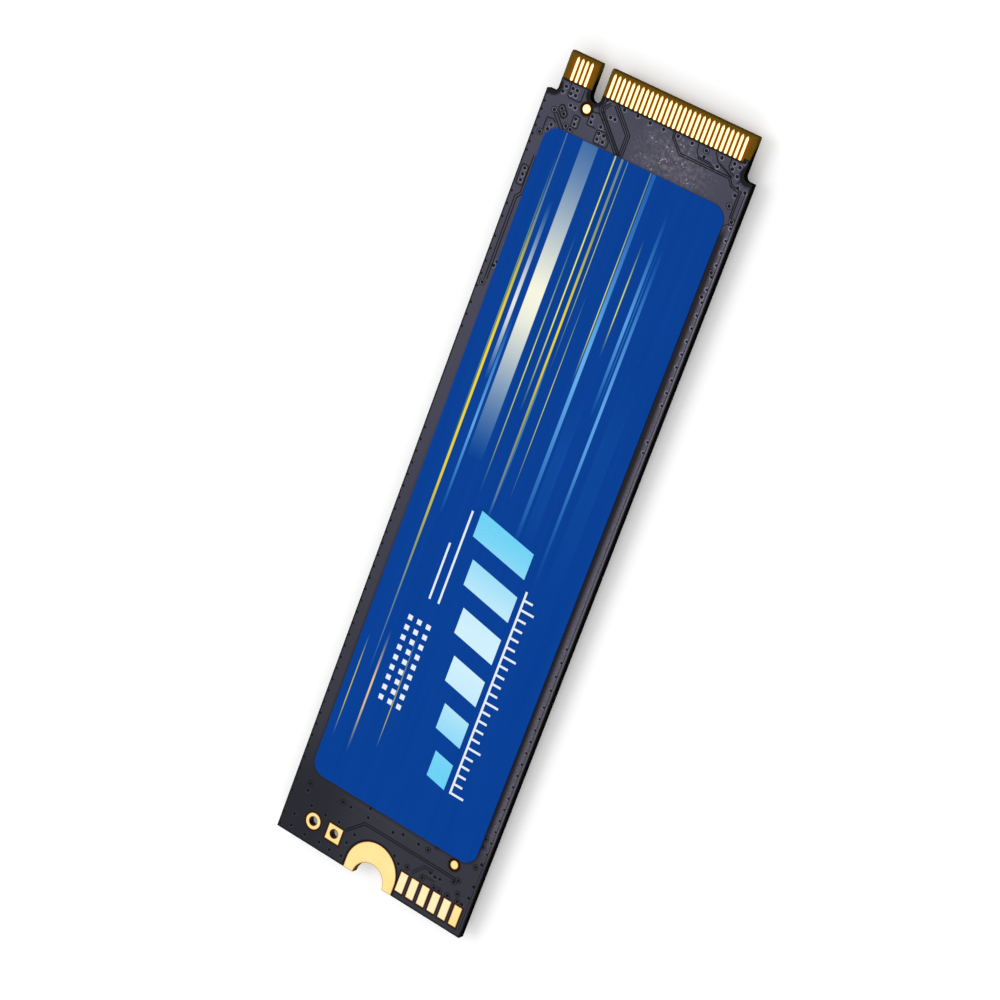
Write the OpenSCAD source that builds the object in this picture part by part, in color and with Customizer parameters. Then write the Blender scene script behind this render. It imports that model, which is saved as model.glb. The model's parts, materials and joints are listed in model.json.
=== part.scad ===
// Gumstick solid state drive, 22 mm by 80 mm, with an edge connector keyed at one place.
// The label side faces +Z and the chips face down, so the drive lies on its chips.
// +Y points to the connector. The origin is under the board's centre, level with the chip tops.

/* [Board] */
// Width of the board
board_w = 22; // [21.6:0.1:23]
// Length of the board, over the connector tab
board_l = 80; // [79:0.5:86]
// Thickness of the board, over both layers of solder mask
board_t = 0.8; // [0.6:0.05:1.2]
// Width of the connector tab
tab_w = 19.85; // [19.6:0.05:20.4]
// Length of the connector tab, from its leading edge to the shoulders
tab_l = 4; // [3.8:0.1:4.6]
// Radius in the corners between tab and shoulders
tab_relief_r = 0.5; // [0.2:0.05:0.5]
// Length of the slope along the leading edge
bevel_l = 0.25; // [0.1:0.05:0.3]
// Depth of that slope on each face
bevel_d = 0.12; // [0.05:0.01:0.2]
// Width of the key notch
key_w = 1.2; // [0.8:0.05:1.3]
// Depth of the key notch, with its round end
key_l = 3.5; // [2.5:0.1:3.6]
// Distance from the board's centre line to the key notch
key_x = 6.125; // [6.1:0.005:6.15]
// Radius of the half round screw notch
notch_r = 1.75; // [1.5:0.05:2]

/* [Solder mask and plating] */
// Thickness of each layer of solder mask
mask_t = 0.03; // [0.02:0.005:0.05]
// Thickness of the pads and contacts
plating_t = 0.03; // [0.02:0.005:0.05]
// Bare strip between a pad and the mask around it
mask_gap = 0.08; // [0.04:0.01:0.1]
// Distance from the leading edge to the mask
mask_front = 2.58; // [2.5:0.02:2.7]
// Length of the small corner of mask that reaches further forward
mask_ear_l = 0.36; // [0.1:0.02:0.5]
// Width of that corner of mask
mask_ear_w = 0.55; // [0.4:0.01:0.58]

/* [Edge contacts] */
// Distance between the centres of contacts on one face
contact_pitch = 0.5; // [0.48:0.01:0.5]
// Width of a contact
contact_w = 0.35; // [0.25:0.01:0.38]
// Distance from the leading edge to the contacts' tips
contact_tip = 0.3; // [0.3:0.01:0.5]
// Length of the pointed tip
contact_point_l = 0.5; // [0.3:0.05:0.8]
// Gap between the contacts' round inner ends and the mask
contact_end_gap = 0.03; // [0.02:0.01:0.1]
// Distance from the centre line to the outermost contact on the label side
contact_first_x = 9; // [8.9:0.05:9.2]
// Distance by which the other side's contacts are shifted outwards
contact_shift = 0.25; // [0.2:0.01:0.28]

/* [Screw pad] */
// Outer radius of the gold arch round the screw notch
screw_pad_r = 2.86; // [2.4:0.02:3]
// Distance from the board's end to the centre of the arch
screw_pad_rise = 1; // [0.5:0.1:1.4]

/* [Test pads] */
// Width of a test pad
test_pad_w = 0.88; // [0.6:0.02:1]
// Length of a test pad
test_pad_l = 2.05; // [1.5:0.05:2.4]
// Distance between the centres of test pads
test_pad_pitch = 1.27; // [1.2:0.01:1.28]
// Distance from the board's right side to the outermost test pad's centre
test_pad_side = 1.16; // [1:0.02:1.2]
// Least gap between the test pads and the screw pad
test_pad_gap = 0.15; // [0.1:0.01:0.2]
// Distance from the board's end to the test pads
test_pad_end = 0.7; // [0.4:0.05:1]

/* [Header pads] */
// Outer size of the round and the square header pad
header_pad_d = 1.67; // [1.5:0.01:1.9]
// Finished hole in the header pads
header_hole_d = 0.9; // [0.7:0.02:1]
// Wall of the plated holes
header_wall = 0.05; // [0.03:0.01:0.08]
// Distance between the two header holes
header_pitch = 2.54; // [2.5:0.01:2.6]
// Distance from the board's left side to the round header pad
header_side = 3.5; // [3:0.1:3.6]
// Distance from the board's end to the header holes
header_end = 2.36; // [2:0.02:2.6]

/* [Fiducial dots] */
// Diameter of a fiducial dot
fiducial_d = 0.85; // [0.6:0.05:1]
// Diameter of the opening round a fiducial dot
fiducial_clear_d = 1.25; // [1.15:0.05:1.4]
// Distance from the key notch's round end to the dot beside it
fiducial_key_gap = 0.77; // [0.7:0.01:1]
// Distance from the board's right side to the dot near the test pads
fiducial_side = 3.1; // [2:0.1:4]
// Distance from the board's end to that dot
fiducial_end = 6.17; // [5:0.01:6.2]

/* [Label] */
// Thickness of the label film
label_t = 0.1; // [0.05:0.01:0.2]
// Thickness of the printed ink
ink_t = 0.02; // [0.01:0.005:0.03]
// Distance from the leading edge to the label
label_front = 6.9; // [6:0.1:8]
// Distance from the board's end to the label
label_back = 6.9; // [6.9:0.1:8]
// Bare strip of board left of the label
label_left = 1.4; // [1:0.05:1.8]
// Bare strip of board right of the label
label_right = 1.25; // [1:0.05:1.8]
// Radius of the label's corners
label_r = 1.45; // [0.5:0.05:2]

/* [Label motif] */
// Number of slanted bars
bar_n = 6; // [3:1:6]
// Width of a slanted bar along the label
bar_w = 2.6; // [1.5:0.1:3]
// Distance between slanted bars
bar_pitch = 4.4; // [3.4:0.1:4.6]
// Height of the lowest slanted bar
bar_low = 2.2; // [1:0.1:4]
// Height of the tallest slanted bar
bar_high = 6.4; // [4:0.1:6.6]
// Distance that a bar leans over its full height
bar_lean = 1.3; // [0:0.1:1.6]
// Distance from the centre line to the bars' feet
bar_foot_x = 4.2; // [3.8:0.05:4.25]
// Distance from the label's back end to the first bar
bar_start = 5.3; // [4:0.1:5.5]
// Side of a printed dot
dot_w = 0.5; // [0.3:0.05:0.7]
// Distance between printed dots
dot_pitch = 1.05; // [0.8:0.05:1.1]
// Number of rows of printed dots
dot_rows = 3; // [1:1:3]
// Number of printed dots in a row
dot_cols = 9; // [3:1:9]
// Number of ruler ticks beside the bars
tick_n = 22; // [8:1:22]
// Distance between ruler ticks
tick_pitch = 0.96; // [0.8:0.02:1]
// Width of a ruler tick or a thin line
tick_w = 0.22; // [0.1:0.02:0.3]
// Height of a ruler tick
tick_h = 0.9; // [0.6:0.05:1.2]
// Height of every fifth ruler tick
tick_long_h = 1.4; // [0.8:0.05:1.5]
// Gap between the bars' feet and the ruler
tick_gap = 0.6; // [0.4:0.05:1]
// Gap between the tallest bar and the dots
dot_gap = 1; // [0.5:0.1:1.2]
// Gap between the dots and the thin lines
line_gap = 1.5; // [0.5:0.1:2]
// Length of the longer thin line
line_l = 9.6; // [4:0.1:10]
// Length of the shorter thin line
short_line_l = 5.8; // [2:0.1:8]

/* [Chip packages] */
// Height of the solder balls
ball_h = 0.25; // [0.15:0.01:0.3]
// Thickness of a package's substrate
substrate_t = 0.22; // [0.15:0.01:0.3]
// Side of the controller
controller_w = 11; // [10:0.5:12]
// Thickness of the controller's moulding
controller_mould_t = 0.73; // [0.5:0.01:0.9]
// Distance between the controller's solder balls
controller_ball_pitch = 0.65; // [0.5:0.01:0.7]
// Solder balls along each side of the controller
controller_ball_n = 15; // [9:2:15]
// Rings of solder balls round the controller's rim
controller_ball_rings = 4; // [2:1:5]
// Width of the cache memory
cache_w = 7.5; // [6:0.1:7.6]
// Length of the cache memory
cache_l = 13.3; // [12.8:0.1:13.5]
// Thickness of the cache memory's moulding
cache_mould_t = 0.53; // [0.4:0.01:0.7]
// Distance between the cache memory's solder balls
cache_ball_pitch = 0.8; // [0.7:0.01:0.8]
// Rows of solder balls along the cache memory
cache_ball_rows = 16; // [8:1:16]
// Width of a flash memory, across the board
flash_w = 18; // [16:0.5:18.4]
// Length of a flash memory, along the board
flash_l = 14; // [12:0.5:14]
// Thickness of a flash memory's moulding
flash_mould_t = 0.73; // [0.5:0.01:0.9]
// Distance between a flash memory's solder balls
flash_ball_pitch = 1; // [0.8:0.01:1]
// Solder balls across a flash memory
flash_ball_cols = 15; // [9:1:15]
// Solder balls along a flash memory
flash_ball_rows = 9; // [5:1:10]
// Largest radius of a solder ball
ball_r = 0.2; // [0.15:0.01:0.25]
// Radius of a solder ball at its two ends
ball_end_r = 0.15; // [0.08:0.01:0.15]
// Setback of a package's moulding from the edge of its substrate
mould_setback = 0.1; // [0:0.02:0.3]

/* [Power parts] */
// Side of the power chip
power_chip_w = 4; // [3:0.1:4.2]
// Thickness of the power chip's body
power_chip_t = 0.75; // [0.5:0.05:0.9]
// Number of soldered pads on each side of the power chip
power_chip_pads = 6; // [3:1:6]
// Distance between the power chip's pads
power_chip_pitch = 0.5; // [0.4:0.02:0.55]
// Thickness of the solder pads under flat chips
pad_h = 0.1; // [0.05:0.01:0.15]
// Length of the solder pads under flat chips
pad_l = 0.6; // [0.4:0.05:0.7]
// Distance that those pads stick out past the chip
pad_toe = 0.12; // [0.05:0.01:0.2]
// Share of the pitch that a pad of a flat chip takes up
pad_share = 0.5; // [0.3:0.05:0.6]
// Width of a power inductor
inductor_w = 2.5; // [2:0.1:2.8]
// Depth of a power inductor
inductor_d = 2; // [1.6:0.1:2.4]
// Height of a power inductor's body
inductor_h = 0.9; // [0.6:0.05:1]

/* [Capacitors and resistors] */
// Length of a small capacitor
small_cap_l = 1; // [0.8:0.05:1.05]
// Width and height of a small capacitor
small_cap_w = 0.5; // [0.4:0.05:0.6]
// Length of a large capacitor
large_cap_l = 1.6; // [1.4:0.05:1.8]
// Width and height of a large capacitor
large_cap_w = 0.8; // [0.6:0.05:0.9]
// Length of a resistor
resistor_l = 1; // [0.8:0.05:1.05]
// Width of a resistor
resistor_w = 0.5; // [0.4:0.05:0.6]
// Height of a resistor's ceramic
resistor_h = 0.32; // [0.25:0.01:0.4]
// Thickness of the coat on a resistor
resistor_coat_t = 0.03; // [0.02:0.01:0.05]
// Share of a part's length that each end terminal takes up
terminal_share = 0.24; // [0.15:0.01:0.3]
// Step from a terminal down to the ceramic
terminal_step = 0.02; // [0.01:0.01:0.04]
// Distance that a solder land sticks out past its terminal
land_margin = 0.1; // [0.05:0.01:0.12]

/* [Crystal, boot flash and load switch] */
// Length of the crystal
crystal_l = 3.2; // [2.5:0.1:3.4]
// Width of the crystal
crystal_w = 2.5; // [2:0.1:2.6]
// Thickness of the crystal's ceramic base
crystal_base_t = 0.4; // [0.3:0.05:0.5]
// Thickness of the crystal's metal lid
crystal_lid_t = 0.25; // [0.1:0.05:0.3]
// Setback of that lid from the base's edge
crystal_setback = 0.15; // [0.1:0.01:0.3]
// Width of the boot flash, across the board
boot_w = 6; // [5:0.1:6.2]
// Length of the boot flash, along the board
boot_l = 5; // [4:0.1:5.2]
// Thickness of the boot flash's body
boot_t = 0.75; // [0.5:0.05:0.9]
// Distance between the boot flash's pads
boot_pitch = 1.27; // [1:0.01:1.27]
// Number of pads on each side of the boot flash
boot_pads = 4; // [3:1:4]
// Length of the load switch
switch_l = 2.9; // [2.4:0.1:3]
// Width of the load switch's body
switch_w = 1.6; // [1.2:0.1:1.7]
// Height of the load switch's body
switch_h = 0.95; // [0.8:0.05:1]
// Clearance under the load switch's body
switch_clear = 0.1; // [0.05:0.01:0.15]
// Distance between the load switch's leads
switch_pitch = 0.95; // [0.8:0.01:1]
// Width of a lead
lead_w = 0.4; // [0.3:0.02:0.5]
// Thickness of a lead
lead_t = 0.15; // [0.1:0.01:0.2]
// Distance that a lead reaches out from the body
lead_reach = 0.6; // [0.5:0.05:0.7]
// Length of a lead's flat foot
foot_l = 0.33; // [0.2:0.01:0.35]

/* [Layout of the component side] */
// Bare strip between the parts and the board's long sides
side_clear = 1.2; // [0.8:0.05:1.3]
// Gap between one row of parts and the next
part_gap = 0.9; // [0.7:0.05:1]
// Gap between controller and cache memory
chip_gap = 0.75; // [0.5:0.05:1]
// Share of the free length that lies before the first flash memory
passive_share = 0.6; // [0.5:0.05:0.65]
// Distance between small capacitors in a row
small_cap_pitch = 1.3; // [1.1:0.05:1.4]
// Distance between large capacitors in a row
large_cap_pitch = 3.2; // [2.6:0.1:3.4]
// Distance between resistors in a row
resistor_pitch = 1.3; // [1.1:0.05:1.4]

/* [Hidden] */
$fn = 48;

// Heights. The tallest chip packages touch z = 0.
controller_h = ball_h + substrate_t + controller_mould_t;
cache_h = ball_h + substrate_t + cache_mould_t;
flash_h = ball_h + substrate_t + flash_mould_t;
power_chip_h = pad_h + power_chip_t;
inductor_total_h = pad_h + inductor_h;
boot_h = pad_h + boot_t;
switch_top = switch_clear + switch_h;
parts_h = max(controller_h, cache_h, flash_h, power_chip_h, inductor_total_h, boot_h,
              switch_top, crystal_base_t + crystal_lid_t, large_cap_w, small_cap_w,
              resistor_h + resistor_coat_t);
board_z = parts_h + max(0, plating_t - mask_t);
laminate_z = board_z + mask_t;
laminate_t = board_t - 2 * mask_t;
laminate_top = laminate_z + laminate_t;
mask_top = board_z + board_t;
label_top = mask_top + label_t;

// Ends and sides of the board
front_y = board_l / 2;
back_y = -board_l / 2;
right_x = board_w / 2;
shoulder_y = front_y - tab_l;

// How many parts a row holds
inductor_n = 4;
coupling_caps_n = 8;
controller_caps_n = 7;
flash_caps_n = 4;
gap_caps_n = 5;
power_resistors_n = 3;
end_row_n = 5;
end_large_n = 2;

// Power parts, row behind row from the shoulders
coupling_y = shoulder_y - part_gap - small_cap_l / 2;
power_front = coupling_y - small_cap_l / 2 - part_gap;
power_chip_at = [-right_x + side_clear + pad_toe + power_chip_w / 2,
                 power_front - power_chip_w / 2];
inductors_left = power_chip_at.x + power_chip_w / 2 + pad_toe + part_gap;
inductors_right = right_x - side_clear;
inductor_pitch = (inductors_right - inductors_left - inductor_w - 2 * pad_toe) / (inductor_n - 1);
inductors_at = [(inductors_left + inductors_right) / 2, power_front - inductor_d / 2];
power_caps_y = inductors_at.y - inductor_d / 2 - part_gap - large_cap_w / 2;
power_resistors_y = power_chip_at.y - power_chip_w / 2 - part_gap - resistor_l / 2;
chip_row_front = min(power_caps_y - large_cap_w / 2, power_resistors_y - resistor_l / 2)
                 - part_gap;

// Controller and cache memory side by side
chip_row_l = max(controller_w, cache_l);
chip_row_y = chip_row_front - chip_row_l / 2;
chip_row_w = controller_w + chip_gap + cache_w;
controller_at = [-chip_row_w / 2 + controller_w / 2, chip_row_y];
cache_at = [chip_row_w / 2 - cache_w / 2, chip_row_y];

// Parts behind the flash memories, row before row from the screw notch
end_parts_y = back_y + part_gap
              + max(screw_pad_rise + screw_pad_r, header_end + header_pad_d / 2);
boot_at = [-right_x + side_clear + pad_toe + boot_w / 2, end_parts_y + boot_l / 2];
switch_at = [boot_at.x + boot_w / 2 + pad_toe + part_gap + switch_l / 2,
             end_parts_y + lead_reach + switch_w / 2];
end_large_y = end_parts_y + large_cap_w / 2;
end_resistors_y = end_large_y + large_cap_w / 2 + part_gap + resistor_l / 2;
end_small_y = end_resistors_y + resistor_l / 2 + part_gap + small_cap_l / 2;
end_rows_x = right_x - side_clear
             - (end_row_n - 1) / 2 * max(small_cap_pitch, resistor_pitch) - small_cap_w / 2;
flash_back = max(boot_at.y + boot_l / 2, end_small_y + small_cap_l / 2) + part_gap;

// Two flash memories share the length that is left with the parts before them
free_l = chip_row_front - chip_row_l - flash_back - 2 * flash_l;
passive_zone_l = free_l * passive_share;
flash_gap = free_l - passive_zone_l;
flash_1_at = [0, chip_row_front - chip_row_l - passive_zone_l - flash_l / 2];
flash_2_at = [0, flash_1_at.y - flash_l - flash_gap];
flash_gap_y = (flash_1_at.y + flash_2_at.y) / 2;
controller_caps_y = controller_at.y - controller_w / 2 - part_gap - small_cap_l / 2;
flash_caps_y = flash_1_at.y + flash_l / 2 + part_gap + large_cap_w / 2;
flash_caps_x = -right_x + side_clear
               + (large_cap_l + (flash_caps_n - 1) * large_cap_pitch) / 2;
crystal_at = [right_x - side_clear - crystal_l / 2,
              flash_1_at.y + flash_l / 2 + passive_zone_l / 2];

// Places on the label side
header_at = [-right_x + header_side, back_y + header_end];
label_fiducials = [[-key_x - fiducial_d / 2, front_y - key_l - fiducial_key_gap],
                   [right_x - fiducial_side, back_y + fiducial_end]];
component_fiducials = [[-right_x + header_end, shoulder_y - part_gap - fiducial_clear_d / 2],
                       [right_x - header_end, header_at.y]];
test_pad_n = floor((right_x - test_pad_side - screw_pad_r - test_pad_gap - test_pad_w / 2)
                   / test_pad_pitch) + 1;
label_w = board_w - label_left - label_right;
label_l = board_l - label_front - label_back;
label_x = (label_left - label_right) / 2;
label_y = (label_back - label_front) / 2;
label_front_y = front_y - label_front;
label_back_y = back_y + label_back;

// Contacts: pins count from the right, four key positions are left out
label_groups = [[0, 28], [33, 36]];
component_groups = [[0, 28], [33, 37]];
contact_l = mask_front - contact_tip - contact_end_gap;

// Printed streaks: place across the label, width, start and end before the label's front edge
yellow_streaks = [
    [3.3, 0.12, 6, 17], [1.5, 0.14, 0, 20.5], [0, 0.12, 12, 31], [-1.4, 0.2, 0, 34.5],
    [-2.1, 0.14, 0, 28], [-3.1, 0.12, 7.5, 34], [-7.55, 0.25, 0, 55], [-7.95, 0.1, 4, 30],
    [-7.6, 0.12, 56, 62], [-8.7, 0.14, 51, 62]
];
blue_streaks = [
    [5.4, 0.26, 6, 38], [4.6, 0.4, 2.5, 22.5], [2, 0.7, 0, 34.5], [-6.15, 0.26, 9.5, 37.5]
];
white_streaks = [
    [-0.8, 0.1, 0, 17], [-4.9, 1.6, 0, 31.5], [-6.6, 0.36, 6.3, 24], [-6.7, 0.14, 51, 62.5]
];
streak_taper = 0.3;

// Rectangle with round corners, made of true arcs
module round_rect(w, l, r) {
    square([w - 2 * r, l], center = true);
    square([w, l - 2 * r], center = true);
    for (x = [-1, 1], y = [-1, 1])
        translate([x * (w / 2 - r), y * (l / 2 - r)]) circle(r);
}

// Line of n things, centred on a place
module row_of(at, n, pitch, turn = 0) {
    for (i = [0 : n - 1])
        translate([at.x + (i - (n - 1) / 2) * pitch, at.y]) rotate(turn) children();
}

// Puts things that stand up from z = 0 onto the component side, facing down
module on_component_side(seat = 0) {
    translate([0, 0, laminate_z - seat]) mirror([0, 0, 1]) children();
}

// Plate on the laminate's upper or lower face
module upper_plate(t) {
    translate([0, 0, laminate_top]) linear_extrude(t) children();
}
module lower_plate(t) {
    translate([0, 0, laminate_z - t]) linear_extrude(t) children();
}

// Corner fillet between tab and shoulder
module tab_relief() {
    difference() {
        square(tab_relief_r);
        translate([tab_relief_r, tab_relief_r]) circle(tab_relief_r);
    }
}

module key_notch() {
    translate([-key_x, front_y - key_l + key_w / 2]) {
        circle(key_w / 2);
        translate([-key_w / 2, 0]) square([key_w, key_l]);
    }
}

module board_outline() {
    difference() {
        union() {
            translate([-board_w / 2, back_y]) square([board_w, board_l - tab_l]);
            translate([-tab_w / 2, back_y]) square([tab_w, board_l]);
            for (side = [0, 1]) mirror([side, 0]) translate([tab_w / 2, shoulder_y]) tab_relief();
        }
        key_notch();
        translate([0, back_y]) circle(notch_r);
    }
}

// Wedge that slopes the leading edge of one face
module edge_slope() {
    rotate([90, 0, 90]) linear_extrude(board_w, center = true)
        polygon([[0, 0], [-bevel_l, 0], [0, -bevel_d]]);
}

module header_holes(d) {
    row_of([header_at.x + header_pitch / 2, header_at.y], 2, header_pitch) circle(d / 2);
}

module laminate_core() {
    color("#5b4a14")
        difference() {
            translate([0, 0, laminate_z]) linear_extrude(laminate_t)
                difference() {
                    board_outline();
                    header_holes(header_hole_d + 2 * header_wall);
                }
            translate([0, front_y, laminate_top]) edge_slope();
            translate([0, front_y, laminate_z]) mirror([0, 0, 1]) edge_slope();
        }
}

// One contact: round inner end, straight sides, pointed tip towards the leading edge
module contact() {
    tip_r = (pow(contact_point_l, 2) + pow(contact_w / 2, 2)) / contact_w;
    straight_l = contact_l - contact_point_l - contact_w / 2;
    circle(contact_w / 2);
    translate([-contact_w / 2, 0]) square([contact_w, straight_l]);
    translate([0, straight_l]) intersection() {
        translate([contact_w / 2 - tip_r, 0]) circle(tip_r);
        translate([tip_r - contact_w / 2, 0]) circle(tip_r);
        translate([-contact_w / 2, 0]) square([contact_w, contact_point_l]);
    }
}

module contacts(groups, first_x) {
    for (group = groups, i = [group[0] : group[1]])
        translate([first_x - i * contact_pitch,
                   front_y - mask_front + contact_end_gap + contact_w / 2]) contact();
}

module edge_contacts_label_side() {
    color("#f3c15a") upper_plate(plating_t) contacts(label_groups, contact_first_x);
}

module edge_contacts_component_side() {
    color("#f3c15a") lower_plate(plating_t)
        contacts(component_groups, contact_first_x + contact_shift);
}

// Arch round the screw notch, cut off at the board's end
module screw_pad_outline(grow = 0) {
    difference() {
        translate([0, back_y]) {
            translate([0, screw_pad_rise]) intersection() {
                circle(screw_pad_r + grow);
                translate([-board_w / 2, 0]) square([board_w, board_w]);
            }
            translate([-screw_pad_r - grow, 0]) square([2 * (screw_pad_r + grow), screw_pad_rise]);
        }
        translate([0, back_y]) circle(notch_r);
    }
}

module test_pad_outlines(grow = 0) {
    for (i = [0 : test_pad_n - 1])
        translate([right_x - test_pad_side - i * test_pad_pitch,
                   back_y + test_pad_end + test_pad_l / 2])
            square([test_pad_w + 2 * grow, test_pad_l + 2 * grow], center = true);
}

module header_outlines(grow = 0) {
    translate(header_at) circle(header_pad_d / 2 + grow);
    translate([header_at.x + header_pitch, header_at.y])
        square(header_pad_d + 2 * grow, center = true);
}

module fiducials(places, d) {
    for (place = places) translate(place) circle(d / 2);
}

// Part of the board that the solder mask covers
module mask_field() {
    difference() {
        board_outline();
        translate([-board_w / 2, front_y - mask_front]) square([board_w, mask_front]);
    }
}

module solder_mask_label_side() {
    color("#34323c") upper_plate(mask_t) {
        difference() {
            mask_field();
            screw_pad_outline(mask_gap);
            test_pad_outlines(mask_gap);
            header_outlines(mask_gap);
            fiducials(label_fiducials, fiducial_clear_d);
        }
        translate([tab_w / 2 - mask_ear_w, front_y - mask_front])
            square([mask_ear_w, mask_ear_l]);
    }
}

module solder_mask_component_side() {
    color("#34323c") lower_plate(mask_t)
        difference() {
            mask_field();
            screw_pad_outline(mask_gap);
            header_outlines(mask_gap);
            fiducials(component_fiducials, fiducial_clear_d);
            land_outlines(mask_gap);
        }
}

module screw_pad_label_side() {
    color("#f7d88c") upper_plate(plating_t) screw_pad_outline();
}

module screw_pad_component_side() {
    color("#f7d88c") lower_plate(plating_t) screw_pad_outline();
}

module test_pads() {
    color("#f7e0a4") upper_plate(plating_t) test_pad_outlines();
}

// Plated hole: a flange on each face and a barrel through the laminate
module plated_hole() {
    difference() {
        union() {
            translate([0, 0, laminate_top]) linear_extrude(plating_t) children();
            translate([0, 0, laminate_z - plating_t]) linear_extrude(plating_t) children();
            translate([0, 0, laminate_z])
                cylinder(h = laminate_t, r = header_hole_d / 2 + header_wall);
        }
        translate([0, 0, laminate_z - 2 * plating_t])
            cylinder(h = laminate_t + 4 * plating_t, r = header_hole_d / 2);
    }
}

module header_pad_round() {
    color("#f7d88c") translate(header_at) plated_hole() circle(header_pad_d / 2);
}

module header_pad_square() {
    color("#f7d88c") translate([header_at.x + header_pitch, header_at.y])
        plated_hole() square(header_pad_d, center = true);
}

module fiducial_dots_label_side() {
    color("#ffe9b0") upper_plate(plating_t) fiducials(label_fiducials, fiducial_d);
}

module fiducial_dots_component_side() {
    color("#ffe9b0") lower_plate(plating_t) fiducials(component_fiducials, fiducial_d);
}

module label_outline() {
    translate([label_x, label_y]) round_rect(label_w, label_l, label_r);
}

module label_film() {
    color("#0b4296") translate([0, 0, mask_top]) linear_extrude(label_t) label_outline();
}

// Ink lies on the film and never reaches past its edge
module ink() {
    translate([0, 0, label_top]) linear_extrude(ink_t) intersection() {
        label_outline();
        children();
    }
}

// Long stroke that thins out at its ends; a start of 0 runs off the label's front edge
module streak(x, w, start, end) {
    taper = (end - start) * streak_taper;
    top = label_front_y - start + (start == 0 ? taper : 0);
    bottom = label_front_y - end;
    polygon([[x, top], [x + w / 2, top - taper], [x + w / 2, bottom + taper],
             [x, bottom], [x - w / 2, bottom + taper], [x - w / 2, top - taper]]);
}

// The motif's inks leave gaps in the streaks
module streaks(list) {
    ink() difference() {
        for (s = list) streak(s[0], s[1], s[2], s[3]);
        bar_outlines();
        tick_and_dot_outlines();
    }
}

module label_streaks_yellow() { color("#ebd228") streaks(yellow_streaks); }
module label_streaks_blue() { color("#5a96d7") streaks(blue_streaks); }
module label_streaks_white() { color("#dfe6da") streaks(white_streaks); }

// Slanted bars that grow towards the connector
module bar_outlines() {
    for (i = [0 : bar_n - 1]) {
        h = bar_low + (bar_high - bar_low) * i / (bar_n - 1);
        lean = bar_lean * h / bar_high;
        translate([bar_foot_x, label_back_y + bar_start + i * bar_pitch])
            polygon([[0, 0], [0, bar_w], [-h, bar_w + lean], [-h, lean]]);
    }
}

// Ruler ticks on one side of the bars, dots and thin lines on the other
module tick_and_dot_outlines() {
    ruler_at = [bar_foot_x + tick_gap, label_back_y + bar_start];
    dots_at = [bar_foot_x - bar_high - dot_gap, label_back_y + bar_start + bar_pitch + dot_w];
    lines_y = dots_at.y + dot_cols * dot_pitch + line_gap;
    translate(ruler_at) {
        square([tick_w, tick_n * tick_pitch]);
        for (i = [0 : tick_n - 1]) translate([0, i * tick_pitch])
            square([tick_w + (i % 5 == 0 ? tick_long_h : tick_h), tick_w]);
    }
    for (i = [0 : dot_cols - 1], j = [0 : dot_rows - 1])
        translate([dots_at.x - j * dot_pitch, dots_at.y + i * dot_pitch])
            square(dot_w, center = true);
    for (j = [0 : 1]) translate([dots_at.x - j * dot_pitch, lines_y])
        square([tick_w, j == 0 ? line_l : short_line_l]);
}

module label_bars() { color("#7fd3f2") ink() bar_outlines(); }
module label_ticks_and_dots() { color("white") ink() tick_and_dot_outlines(); }

// Solder ball, bulging between two flat ends
module ball() {
    rotate_extrude()
        polygon([[0, 0], [ball_end_r, 0], [ball_r, ball_h / 2], [ball_end_r, ball_h], [0, ball_h]]);
}

// Chip package standing on solder balls: substrate and moulding
module substrate(at, w, l) {
    on_component_side(mask_t) translate([at.x, at.y, ball_h])
        linear_extrude(substrate_t) square([w, l], center = true);
}

module mould(at, w, l, t) {
    on_component_side(mask_t) translate([at.x, at.y, ball_h + substrate_t])
        linear_extrude(t) square([w - 2 * mould_setback, l - 2 * mould_setback], center = true);
}

module balls_at(at, cols, rows, pitch) {
    on_component_side(mask_t)
        for (i = [0 : cols - 1], j = [0 : rows - 1])
            translate([at.x + (i - (cols - 1) / 2) * pitch, at.y + (j - (rows - 1) / 2) * pitch, 0])
                ball();
}

module controller_substrate() {
    color("#1f3d2b") substrate(controller_at, controller_w, controller_w);
}
module controller_mould() {
    color("#26262a") mould(controller_at, controller_w, controller_w, controller_mould_t);
}

// Rings of balls at the rim and a block in the middle
module controller_balls() {
    n = controller_ball_n;
    rings = controller_ball_rings;
    color("silver") on_component_side(mask_t)
        for (i = [0 : n - 1], j = [0 : n - 1])
            if (min(i, j) < rings || max(i, j) > n - 1 - rings
                || (min(i, j) > rings && max(i, j) < n - 1 - rings))
                translate([controller_at.x + (i - (n - 1) / 2) * controller_ball_pitch,
                           controller_at.y + (j - (n - 1) / 2) * controller_ball_pitch, 0]) ball();
}

module cache_substrate() { color("#1f3d2b") substrate(cache_at, cache_w, cache_l); }
module cache_mould() { color("#26262a") mould(cache_at, cache_w, cache_l, cache_mould_t); }

// Two blocks of three columns with a free street between them
module cache_balls() {
    color("silver")
        for (side = [-1, 1])
            balls_at([cache_at.x + side * 3 * cache_ball_pitch, cache_at.y],
                     3, cache_ball_rows, cache_ball_pitch);
}

module flash_1_substrate() { color("#1f3d2b") substrate(flash_1_at, flash_w, flash_l); }
module flash_1_mould() { color("#26262a") mould(flash_1_at, flash_w, flash_l, flash_mould_t); }
module flash_1_balls() {
    color("silver") balls_at(flash_1_at, flash_ball_cols, flash_ball_rows, flash_ball_pitch);
}
module flash_2_substrate() { color("#1f3d2b") substrate(flash_2_at, flash_w, flash_l); }
module flash_2_mould() { color("#26262a") mould(flash_2_at, flash_w, flash_l, flash_mould_t); }
module flash_2_balls() {
    color("silver") balls_at(flash_2_at, flash_ball_cols, flash_ball_rows, flash_ball_pitch);
}

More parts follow.
